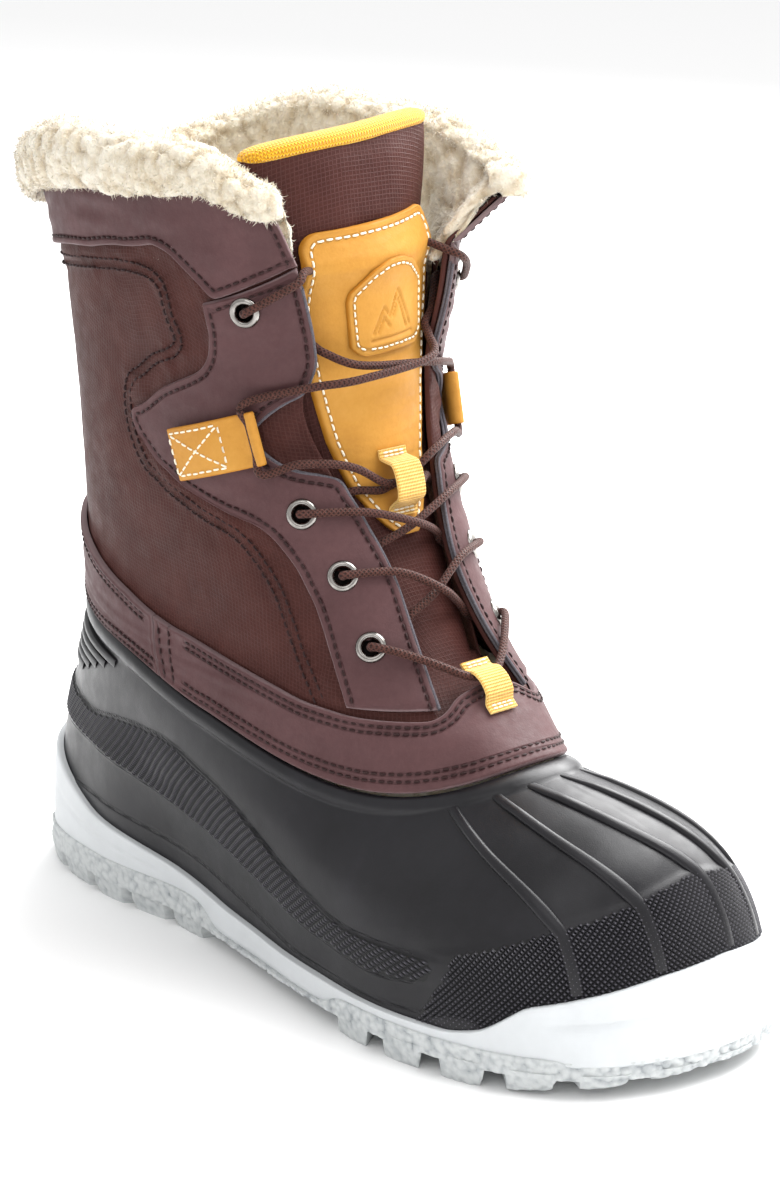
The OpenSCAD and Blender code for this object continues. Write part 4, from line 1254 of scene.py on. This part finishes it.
def make_tabs():
    """Leather tabs folded round a lace eye and sewn down with a crossed box of stitches."""
    deg = np.linspace(-TAB_BACK, TAB_FRONT, 40)
    inner = np.stack(tab_arc(deg, TAB_BEND + .6), 1)
    outer = np.stack(tab_arc(deg[::-1], TAB_BEND + 1.85), 1)
    eye = np.array(tab_arc(TAB_FRONT, TAB_BEND + LOOP_R + .7))
    turn = np.radians(np.linspace(-90, 90, 19) - TAB_FRONT)
    bend = eye + (LOOP_R + .75) * np.stack([np.cos(turn), np.sin(turn)], 1)
    for side, name in SIDES:
        flip = np.array([side, 1, 1])
        part = Part("seam", "edge")
        path = resample(np.concatenate([inner, bend, outer]), 1.)
        path = np.stack([np.convolve(np.pad(path[:, k], 3, mode="edge"), np.ones(7) / 7, "valid")
                         for k in (0, 1)], 1)
        low, high = (tab_place(path[:, 0], path[:, 1], np.full(len(path), h)) * flip
                     for h in (-1., 1.))
        across = unit(high[0] - low[0])
        strip(part, (low + high) / 2, across, TAB_W, 1.2)
        build(part, "lace_tab_" + name + "_strap", tan,
              replaces="lace_tab_" + name)
        r = TAB_BEND + 2.45
        back, front, low, high = -19.6, 5, -7.2, 7.2
        box = [(back, low), (back, high), (front, high), (front, low), (back, low),
               (front, high), (front, low), (back, high)]
        for (a0, h0), (a1, h1) in zip(box[:-1], box[1:]):
            k = np.linspace(0, 1, 30)
            d, h = a0 + (a1 - a0) * k, h0 + (h1 - h0) * k
            along, out = tab_arc(d, r)
            P = tab_place(along, out, h) * flip
            up = tab_place(*tab_arc(d, r + 1), h) * flip
            stitches(cream_stitch, (P, unit(up - P)), 2.3, 2.9, .36)


def bridge_path(length, height):
    """Side view of a webbing loop: flat feet and a raised bridge between them."""
    half, foot_l = length / 2, 3.5
    keys = np.array([[-half, .6], [-half + foot_l * .8, .65], [-half + foot_l + .6, height * .45],
                     [-half + foot_l + 2, height * .93], [-half + foot_l + 4.2, height + .6],
                     [0, height + .9]])
    keys = np.concatenate([keys, keys[-2::-1] * [-1, 1]])
    return resample(curve(keys, np.linspace(0, len(keys) - 1, 200)), .45)


def webbing_loop(name, node, body, at, way, out, length, height, stitch):
    path = bridge_path(length, height)
    way, side = unit(way), np.array([1., 0, 0])
    line = at + path[:, :1] * way + path[:, 1:] * out
    part = Part("seam", "edge")
    strip(part, line, side, WEB_W, 1.25)
    build(part, name, webbing, body, node)
    half = length / 2
    for end in (-1, 1):
        for k in (1.1, 2.3):
            x = np.linspace(-WEB_W / 2 + 1, WEB_W / 2 - 1, 20)[:, None]
            P = at + side * x + way * end * (half - k) + out * 1.3
            stitches(stitch, (P, np.broadcast_to(out, P.shape)), 1.9, 2.2, .34)


# --- tongue -------------------------------------------------------------------
def tunnel(z):
    """How far the overlay stands out where the lace passes under it."""
    return 3.6 * np.exp(-((np.asarray(z, float) - 243) / 7) ** 2)


OVERLAY_LOW, OVERLAY_TOP, CORNER, OVERLAY_X, OVERLAY_T = 152, 255, 6, 2, 1.6
BADGE_LOW, BADGE_HEIGHT, BADGE_X, BADGE_T = 212, 31, 5, 1.3


def overlay_half(z):
    """Half the width of the leather overlay, with rounded top corners."""
    z = np.asarray(z, float)
    into_corner = np.clip(z - (OVERLAY_TOP - CORNER), 0, CORNER)
    return table(OVERLAY, np.minimum(z, OVERLAY[-1][0])) - CORNER \
        + np.sqrt(np.maximum(CORNER ** 2 - into_corner ** 2, 0))


def round_border(X, Z, d, inset):
    """Line round a piece on the tongue, a little inside its border."""
    x, z = (np.concatenate([v[:, 0], v[-1], v[::-1, -1], v[0, ::-1]]) for v in (X, Z))
    flat = resample(np.stack([x, z, 0 * x], 1), .7)
    T = unit(np.gradient(flat, axis=0))
    inside = flat + inset * np.stack([T[:, 1], -T[:, 0], 0 * T[:, 0]], 1)
    gap = np.linalg.norm(inside[:, None] - flat[None], axis=2).min(1)
    q = resample(inside[gap > inset * .93], .6)
    P = on_tongue(q[:, 0], q[:, 1], d + tunnel(q[:, 1]))
    return P, np.tile([0., -1., 0.], (len(P), 1))


def make_tongue():
    z = np.linspace(TONGUE_FOOT + 3, TONGUE_TOP - 5, 90)
    a = np.radians(np.arange(0, 360, 4))
    Z, TH = grid_of(z, a)
    W = tongue_half(Z)
    c, s = np.cos(TH), np.sin(TH)
    X = W * np.sign(c) * np.abs(c) ** .42
    depth = np.sign(s) * np.abs(s) ** .5
    lip = np.clip((Z - 251) / 8, 0, 1) * np.clip((TONGUE_TOP - 3 - Z) / 8, 0, 1)
    pillow = 1.6 * lip * np.clip(1 - (X / W) ** 4, 0, 1) * (s > 0)
    crease = .35 * value_noise(X / 9 + 20, Z / 30, 31) + .2 * value_noise(X / 4 + 9, Z / 22, 32)
    front = np.where(s > 0, depth * (TONGUE_T / 2 + pillow + crease * lip * (s > 0)),
                     depth * TONGUE_T / 2) - TONGUE_T / 2
    P = on_tongue(X, Z, front)
    k = np.linspace(1, 0, 16)[:-1, None]
    root = np.repeat(P[:1], 15, 0)
    root[..., 0] *= 1 + .75 * k ** .5
    root[..., 1] -= 18 * k ** 1.2
    root[..., 2] -= 17 * k
    P = np.concatenate([root, P])
    part = Part("seam")
    part.grid(P, wrap=True, close=True)
    o = build(part, "tongue_padding", ripstop, None, "tongue_pad")
    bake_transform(o)


def make_tongue_binding():
    part = Part("seam", "edge")
    w = float(tongue_half(TONGUE_TOP - 2)) + .4
    ang = np.radians(np.arange(0, 360, 15))
    rows = []
    for k in np.linspace(-1, 1, 90):
        end = np.sqrt(np.clip(1 - np.abs(k) ** 14, .05, 1))
        low = 2.2 * abs(k) ** 3
        cy, cz = -3.5, TONGUE_TOP - 3 - low
        d = cy + 4.7 * end * np.sign(np.cos(ang)) * np.abs(np.cos(ang)) ** .8
        zz = cz + 2.9 * end * np.sign(np.sin(ang)) * np.abs(np.sin(ang)) ** .8
        rows.append(on_tongue(k * w, zz, d))
    part.grid(np.array(rows), wrap=True, close=True)
    build(part, "tongue_top_binding", knit, "tongue", "tongue_binding")


def make_tongue_leather():
    part = Part("seam", "edge")
    zz = OVERLAY_LOW + (OVERLAY_TOP - OVERLAY_LOW) * ease(110, OVERLAY_TOP - OVERLAY_LOW)
    k = ease(46, 52)
    Z, K = grid_of(zz, k)
    X = OVERLAY_X + (2 * K - 1) * overlay_half(Z)
    low = GAP + tunnel(Z)
    inset = round_border(X, Z, GAP + OVERLAY_T, 2.6)
    shell(part, on_tongue, X, Z, low, low + OVERLAY_T,
          relief=wavy(X, Z / 9, 14, .2, 15), lines=[inset[0]])
    stitches(tongue_stitch, inset, 2.4, 3.1, .4)
    build(part, "tongue_leather", tan, "tongue", "tongue_overlay")


def make_badge():
    """House-shaped patch with a plain range of peaks pressed into it."""
    zz = BADGE_LOW + BADGE_HEIGHT * ease(56, BADGE_HEIGHT)
    k = ease(60, 36)
    Z, K = grid_of(zz, k)
    half = np.interp(Z, [212, 213.2, 215.5, 231, 234, 240.5, 242.4, 243],
                     [12, 15, 17.2, 18, 17.2, 9.5, 5, 2.5])
    X = BADGE_X + (2 * K - 1) * half
    base = 2 * GAP + tunnel(Z) + OVERLAY_T
    marks = [[(-10, 219), (-4, 227), (-1, 223.5), (4.5, 232), (12, 219)],
             [(-7.5, 219), (-4, 223.8), (-1.6, 220.6)], [(1, 223.5), (4.5, 228.6), (9, 219)],
             [(-11, 216.6), (13, 216.6)]]
    lines = [resample(np.array([[BADGE_X + .8 * (x - 1), z, 0] for x, z in m]), .3)
             for m in marks]
    dent = -.75 * np.exp(-(nearest(np.stack([X, Z, 0 * X], -1), lines) / .5) ** 2)
    part = Part("seam", "edge")
    inset = round_border(X, Z, 2 * GAP + OVERLAY_T + BADGE_T, 2.1)
    shell(part, on_tongue, X, Z, base, base + BADGE_T, .6, dent, [inset[0]])
    stitches(tongue_stitch, inset, 1.9, 2.5, .33)
    build(part, "tongue_patch", tan, "tongue", "tongue_badge")


# --- fleece -------------------------------------------------------------------
def pile(part, P, N, size, amount, close=False, seed=3):
    """Adds a fleecy skin: a closed grid whose points stand out in tufts."""
    tuft = clumps(P, size, seed) * .8 + clumps(P, size * .5, seed + 1) * .2
    rough = value_noise(P[..., 0] / 1.3 + 99, P[..., 2] / 1.3 + P[..., 1] / 1.7, seed)
    out = P + N * (amount * (tuft - .45) + .18 * rough)[..., None]
    part.grid(out, wrap=True, close=close, tuft=tuft)
    return out


def grid_normals(P):
    """Directions off a grid whose columns join up."""
    return unit(np.cross(np.gradient(P, axis=0), np.roll(P, -1, 1) - np.roll(P, 1, 1)))


def tips(part, P, N, count, length, width):
    """Fine curled fibres standing on a grid of points."""
    r = np.random.default_rng(5)
    Q, M = P.reshape(-1, 3), N.reshape(-1, 3)
    i = r.integers(0, len(Q), count)
    lean = unit(M[i] + r.normal(0, .75, (count, 3)))
    curl = unit(lean + r.normal(0, .8, (count, 3)))
    side = unit(np.cross(lean, r.normal(0, 1, (count, 3)))) * width
    size = r.uniform(.5, 1, (count, 1)) * length
    root = Q[i] - M[i] * .4
    mid = root + lean * size * .6
    tip = mid + curl * size * .5
    V = np.stack([root - side, root + side, mid + side * .8, mid - side * .8, tip], 1)
    start = part.points(V, tuft=.8)
    k = start + 5 * np.arange(count)[:, None]
    part.faces(k + [0, 1, 2, 3])
    part.faces(k + [3, 2, 4])


INNER_PILE = OUTER_PILE - FLEECE


def make_cuff():
    """Fleece that rolls over the shaft's rim, with fine fibres standing on it."""
    part, fibres = Part("tuft"), Part("tuft")
    u = np.linspace(0, 1, 560)
    q = throat(5) - 3 + (366 - 2 * throat(5)) * u
    p = throat(4.4) - 1.5 + (363 - 2 * throat(4.4)) * u
    g = .28 + .72 * np.clip((around(q) - 40) / 62, 0, 1)
    one = np.ones(len(u))
    rows = [(p, 4.2, OUTER_PILE * one, 0 * g), (p, 4.6, OUTER_PILE * one, 0 * g),
            (q, 4.9, OUTER_PILE * one, .6 * one), (q, 5, -.5 * one, .8 * one),
            (q, 5, 3 + g, -1.5 - 4 * g), (q, 5, 3.2 + 4.6 * g, -1 - 2.6 * g),
            (q, 5, 3 + 7 * g, 1 + 4 * g), (q, 5, 2.4 + 5.6 * g, 2.5 + 10 * g),
            (q, 5, 2 * g, 3.6 + 12 * g), (q, 5, -4 * one, 3.4 + 11 * g),
            (q, 5, (INNER_PILE - 1) * one, 2.5 + 7.5 * g),
            (q, 5, (INNER_PILE - 1) * one, 1 + 3 * g),
            (p, 4.6, INNER_PILE * one, 0 * g), (p, 4.2, INNER_PILE * one, 0 * g)]
    keys = np.array([on_upper(a, t, d) + np.stack([0 * z, 0 * z, z], 1)
                     for a, t, d, z in rows])
    loop = np.concatenate([keys[-2:], keys, keys[:2]])
    k = np.linspace(2, 2 + len(keys), 104, endpoint=False)
    P = curve(loop, k).swapaxes(0, 1)
    cap = np.clip(np.minimum(u, 1 - u) * 420 / 6, .0, 1)[:, None, None]
    middle = P.mean(1, keepdims=True)
    P = middle + (P - middle) * (.35 + .65 * np.sqrt(1 - (1 - cap) ** 2))
    N = grid_normals(P)
    if ((P - middle) * N).sum() < 0:
        N = -N
    out = pile(part, P, N, 4.4, 1.9, close=True)
    o = build(part, "fleece_cuff", fleece, replaces="fleece_collar", smooth=60)
    tips(fibres, out, N, 26000, 2.6, .16)
    return fibres


def make_shaft_pile():
    part = Part("tuft")
    T, A = grid_of(np.linspace(.85, 4.15, 120), np.linspace(62, 298, 200))
    face = on_upper(A, T, INNER_PILE)
    back = on_upper(A, T, OUTER_PILE)
    M = unit(face - back)
    tuft = clumps(face, 4.4, 9)
    a = part.grid(face + M * (1.3 * (tuft - .5))[..., None], tuft=tuft)
    b = part.grid(back, tuft=0)
    part.join(a, b)
    o = build(part, "shaft_pile", fleece, replaces="shaft_lining", smooth=60)


def make_foot_pile():
    """Fleece round the foot, from the galosh's inside up into the shaft."""
    part = Part("tuft")
    outer = -RUBBER - GAP - .6
    p = np.arange(0, 360, 2.)
    low, high = (.16, .3, .45, .6, .75, .88, .97), (.12, .4, .7)
    rows = [on_galosh(p, s, outer) for s in low]
    turned = p - 27 * np.sin(np.radians(p))
    share = .45 + .55 * np.clip((around(turned) - 26) / 16, 0, 1)
    rows += [on_upper(turned, t * share, outer) for t in high]
    inside = [on_upper(turned, t * share, outer - FLEECE) for t in high[::-1]]
    inside += [on_galosh(p, s, outer - FLEECE) for s in low[::-1]]
    for P, d in ((rows, outer), (inside, outer - FLEECE)):
        q = on_galosh(p, .1, d)
        q[:, 2] = 17.8
        P.insert(0, q) if P is rows else P.append(q)
    loop = np.concatenate([np.array(rows), np.array(inside)])
    fine = curve(loop, np.linspace(0, len(loop) - 1, 90))
    N = grid_normals(fine)
    pile(part, fine, N, 4.4, .8, seed=12)
    rim = np.stack([np.arange(len(p)), np.arange(len(p)) + (len(fine) - 1) * len(p)])
    part.faces(cells(rim, True))
    o = build(part, "foot_pile", fleece, replaces="foot_lining", smooth=60)


def make_tongue_pile():
    part = Part("tuft")
    z = np.linspace(TONGUE_FOOT + 8, TONGUE_TOP - 5, 90)
    x = np.linspace(-1, 1, 60)
    Z, X = grid_of(z, x)
    X = X * (tongue_half(Z) - 1.5)
    back = on_tongue(X, Z, -TONGUE_T - 2 * GAP)
    tuft = clumps(back, 4.2, 15)
    edge = np.clip((1 - np.abs(X) / (tongue_half(Z) - 1.5)) * 8, 0, 1)
    face = on_tongue(X, Z, -TONGUE_T - 2 * GAP - .6 - edge * (1.9 + 1.1 * tuft))
    a = part.grid(back, tuft=0)
    b = part.grid(face, tuft=tuft)
    part.join(a, b)
    o = build(part, "tongue_pile", fleece, "tongue", "tongue_lining", smooth=60)


def make_insole():
    """Dished felt pad, and the frame's own board under it with a bevelled edge."""
    part = Part()
    p = np.arange(0, 360, 4.)
    f = foot(p)
    rows = []
    for z, k in ((17.8, .55), (17.8, .7), (17.9, .745), (19, .752), (21.5, .75), (22.6, .735),
                 (22.8, .7), (22.2, .55), (21.8, .35), (21.6, .12)):
        q = np.stack([f[:, 0] * k, f[:, 1] * (k + .16 * min(k / .7, 1)), np.full(len(p), z)], -1)
        rows.append(q)
    part.grid(np.array(rows), wrap=True, close=True)
    o = build(part, "insole_pad", felt, replaces="footbed", subdivide=1)
    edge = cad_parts["insole_board"]
    edge.data.materials.clear()
    edge.data.materials.append(board)
    bevel = edge.modifiers.new("edge", "BEVEL")
    bevel.width, bevel.segments = .4 * MM, 2


# --- bellows between shaft and tongue -----------------------------------------
def make_gussets():
    """Thin sheets between the shaft and the tongue's edges."""
    for side, name in SIDES:
        t = np.linspace(.95, 4.1, 80)
        edge = on_upper(64, t, -FABRIC - 2 * GAP - 4)
        z = edge[:, 2]
        tongue_edge = on_tongue(-tongue_half(z) - 2.5, z, 1.5)
        k = np.linspace(0, 1, 26)[None, :, None]
        P = edge[:, None] + k * (tongue_edge - edge)[:, None]
        P[..., 1] += 6 * np.sin(np.pi * k[..., 0])
        ripple = .5 * value_noise(k[..., 0] * 7 + 4, z[:, None] / 16, 40 + side)
        P[..., 1] += ripple * np.sin(np.pi * k[..., 0])
        P = P * [side, 1, 1]
        part = Part("seam")
        part.grid(P)
        o = build(part, "bellows_" + name, ripstop, None)
        solid = o.modifiers.new("cloth", "SOLIDIFY")
        solid.thickness, solid.offset = .5 * MM, 0
        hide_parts("gusset_" + name)
        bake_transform(o)


# --- lace ---------------------------------------------------------------------
BAR = [[30, 1.09, -1], [30, 1.09, 3], [28, 1.07, 4.6], [22, 1, 4.6], [13, .86, 4.6],
       [5, .72, 4.2], [0, .68, 4.2]]
TO_KEEPER = [[38, 2.09, -2], [37, 2.12, -5], [21, 2.2, -4.8], [13, 2.25, -1.8]]
TO_TAB = [[-12, 2.42, 3.6], [-22, 2.5, 4.4], [-34, 2.52, 5]]
FROM_TAB = [[-26, 3.3, 5], [-10, 3.42, 6.4], [8, 3.52, 6], [18, 3.6, 0], [23, 3.66, -4.3],
            [32, 3.76, -4.8], [49, 3.98, -5], [50, 3.99, -2]]
TOP_RUN = [[50, 3.99, -.6], [50, 3.99, 3], [48, 4.02, 4.8], [38, 4.14, 4.8], [30, 4.22, 4],
           [27, 4.26, -.6]]
OVER = 3.4


def rise(a, b, high):
    """Lace keys from under one eyelet, round the throat's edge and down into the next."""
    def th(t):
        return float(throat(t))
    return [[a[0], a[1], -2], [a[0] - 1, a[1] + .03, -5],
            [th(a[1] + .15) + 3, a[1] + .12, -4.6], [th(a[1] + .25) - 3, a[1] + .19, -2],
            [0, (a[1] + b[1]) / 2 + .03, high], [-th(b[1]) + 1, b[1] - .05, 4.4],
            [-b[0] + 2, b[1], 4.6], [-b[0], b[1], 3], [-b[0], b[1], -1]]


def route(keys, side=1):
    """Places of lace keys, each an angle, a ring and a distance off the shaft."""
    k = np.array(keys, float)
    return on_upper(side * k[:, 0], k[:, 1], k[:, 2])


def blended(part, name):
    """Lace piece on no body, with its place baked into its points."""
    o = build(part, name, lace_look, None)
    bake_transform(o)
    return o


def make_lace():
    """Lace runs that ride on the shaft, and those that run to the tongue."""
    fixed = Part("seam", "edge")
    total = 0.
    r = CORD / 2
    bar = np.concatenate([route(BAR), route(BAR, -1)[-2::-1]])

    def run(part, P):
        Q = tube(part, P, r)
        return float(np.linalg.norm(np.diff(Q, axis=0), axis=1).sum())
    total += run(fixed, bar)
    top = []
    for side in (1, -1):
        high = 1 if side > 0 else 1 + OVER
        for i in (0, 1):
            total += run(fixed, route(rise(EYELETS[i], EYELETS[i + 1], high), side))
        front = GAP + 1.6 + r + .3 + (0 if side > 0 else CORD + .1)
        x = np.linspace(-8, 8, 5)
        held = on_tongue(1 + side * x, 169 + .2 * x, front)
        first = np.concatenate([route(TO_KEEPER, side), held[:3]])
        part = Part("seam", "edge")
        total += run(part, first)
        blended(part, f"lace_to_keeper_{'ab'[side < 0]}")
        eye = np.array([tab_eye(h) * [-side, 1, 1] for h in (-12, -4.5, 4.5, 12)])
        second = np.concatenate([held[2:], route(TO_TAB, side)])
        part = Part("seam", "edge")
        total += run(part, second)
        blended(part, f"lace_from_keeper_{'ab'[side < 0]}")
        back = [[a, b, d + (OVER if side < 0 and abs(a) < 15 else 0)] for a, b, d in FROM_TAB]
        total += run(fixed, np.concatenate([route(TO_TAB[-2:], side), eye, route(back, side)]))
        top.append(route(TOP_RUN, side))
        total += run(fixed, top[-1][:4])
    through = on_tongue(2 + np.linspace(-24, 24, 7), 243, GAP + r + .1)
    for side, end, half in ((1, top[0], through[:4]), (-1, top[1], through[:2:-1])):
        part = Part("seam", "edge")
        total += run(part, np.concatenate([end[2:], half]))
        blended(part, f"lace_top_{'ab'[side < 0]}")
    build(fixed, "lace_runs", lace_look,
          replaces=("lace", "lace_on_tongue"))
    print("lace length mm", round(total))


# --- everything ---------------------------------------------------------------
make_wall()
make_outsole()
make_galosh()
make_ribs()
make_knurl("knurl_lateral", 60, 180, band_low, band_high, 1.3, 1.5, 24)
make_knurl("knurl_medial", -180, -60, band_low, band_high, 1.3, 1.5, 24)
make_knurl("knurl_toe", -66, 66, wall_top, toe_cap, 1.02, 1, 0)
make_bands()
make_facings()
make_collar()
make_quarters()
make_eyelets()
make_tabs()
low, high = on_tongue(1, 160, 2.4), on_tongue(1, 178, 2.4)
webbing_loop("keeper_loop", "tongue_keeper", "tongue", (low + high) / 2, high - low,
             unit(np.cross([1., 0, 0], high - low)), float(np.linalg.norm(high - low)) + 4,
             2 * CORD + .6, tongue_stitch)
at, ends = on_upper(0, .62, LEATHER + .7), [on_upper(0, t, 2.5) for t in (.4, .95)]
webbing_loop("vamp_webbing", "vamp_loop", "boot", at, ends[1] - ends[0],
             unit(np.cross([1., 0, 0], ends[1] - ends[0])), 20, CORD + .8, cream_stitch)
make_tongue()
make_tongue_binding()
make_tongue_leather()
make_badge()
fibres = make_cuff()
make_shaft_pile()
make_foot_pile()
make_tongue_pile()
build(fibres, "fleece_fibres", fleece, smooth=0)
make_insole()
make_gussets()
make_lace()
build(dark_stitch, "stitches_dark", dark_thread)
build(cream_stitch, "stitches_cream", cream_thread)
build(tongue_stitch, "stitches_tongue", cream_thread, "tongue")


# --- studio -------------------------------------------------------------------
LIGHTS = (("key", (-1.3, -.9, 1.5), 1.0, 5, (0, -.03, .13)),  # place, size, watts, target
          ("side", (1.1, .15, 1.1), 1.3, 62, (0, -.1, .08)),
          ("top", (.42, -.5, 1.3), .8, 14, (0, -.1, .06)),
          ("back", (.2, .6, 1.4), .7, 3, (0, -.08, .1)))
CAMERA_AT, CAMERA_TO, LENS = (-.6597, -.7558, .4324), (-.026, -.0396, .14), 142.15
FLOOR, WORLD_LIGHT = 6, .98


def aimed(name, data, at, spot):
    """Adds a light or a camera at a place, turned towards a spot."""
    o = bpy.data.objects.new(name, data)
    o.location, o.rotation_mode = at, "QUATERNION"
    o.rotation_quaternion = (Vector(spot) - Vector(at)).to_track_quat("-Z", "Y")
    bpy.context.scene.collection.objects.link(o)
    return o


def studio():
    me = bpy.data.meshes.new("floor")
    corners = [(x * FLOOR, y * FLOOR, 0) for x, y in ((-1, -1), (1, -1), (1, 1), (-1, 1))]
    me.from_pydata(corners, [], [(0, 1, 2, 3)])
    floor = bpy.data.objects.new("floor", me)
    bpy.context.scene.collection.objects.link(floor)
    m = bpy.data.materials.new("pale_floor")
    m.use_nodes = True
    b = m.node_tree.nodes["Principled BSDF"]
    b.inputs["Base Color"].default_value = (.93, .93, .93, 1)
    b.inputs["Roughness"].default_value = .9
    me.materials.append(m)
    world = bpy.context.scene.world or bpy.data.worlds.new("studio")
    bpy.context.scene.world = world
    world.use_nodes = True
    world.node_tree.nodes["Background"].inputs[0].default_value = (1, 1, 1, 1)
    world.node_tree.nodes["Background"].inputs[1].default_value = WORLD_LIGHT
    bpy.context.scene.view_settings.view_transform = "Standard"
    for name, at, size, power, spot in LIGHTS:
        light = bpy.data.lights.new(name, "AREA")
        light.size, light.energy = size, power
        aimed(name, light, at, spot)
    cam = bpy.data.cameras.new("camera")
    cam.sensor_width, cam.sensor_fit, cam.lens = 36, "HORIZONTAL", LENS
    cam.clip_start, cam.clip_end = .01, 50
    bpy.context.scene.camera = aimed("camera", cam, CAMERA_AT, CAMERA_TO)


studio()
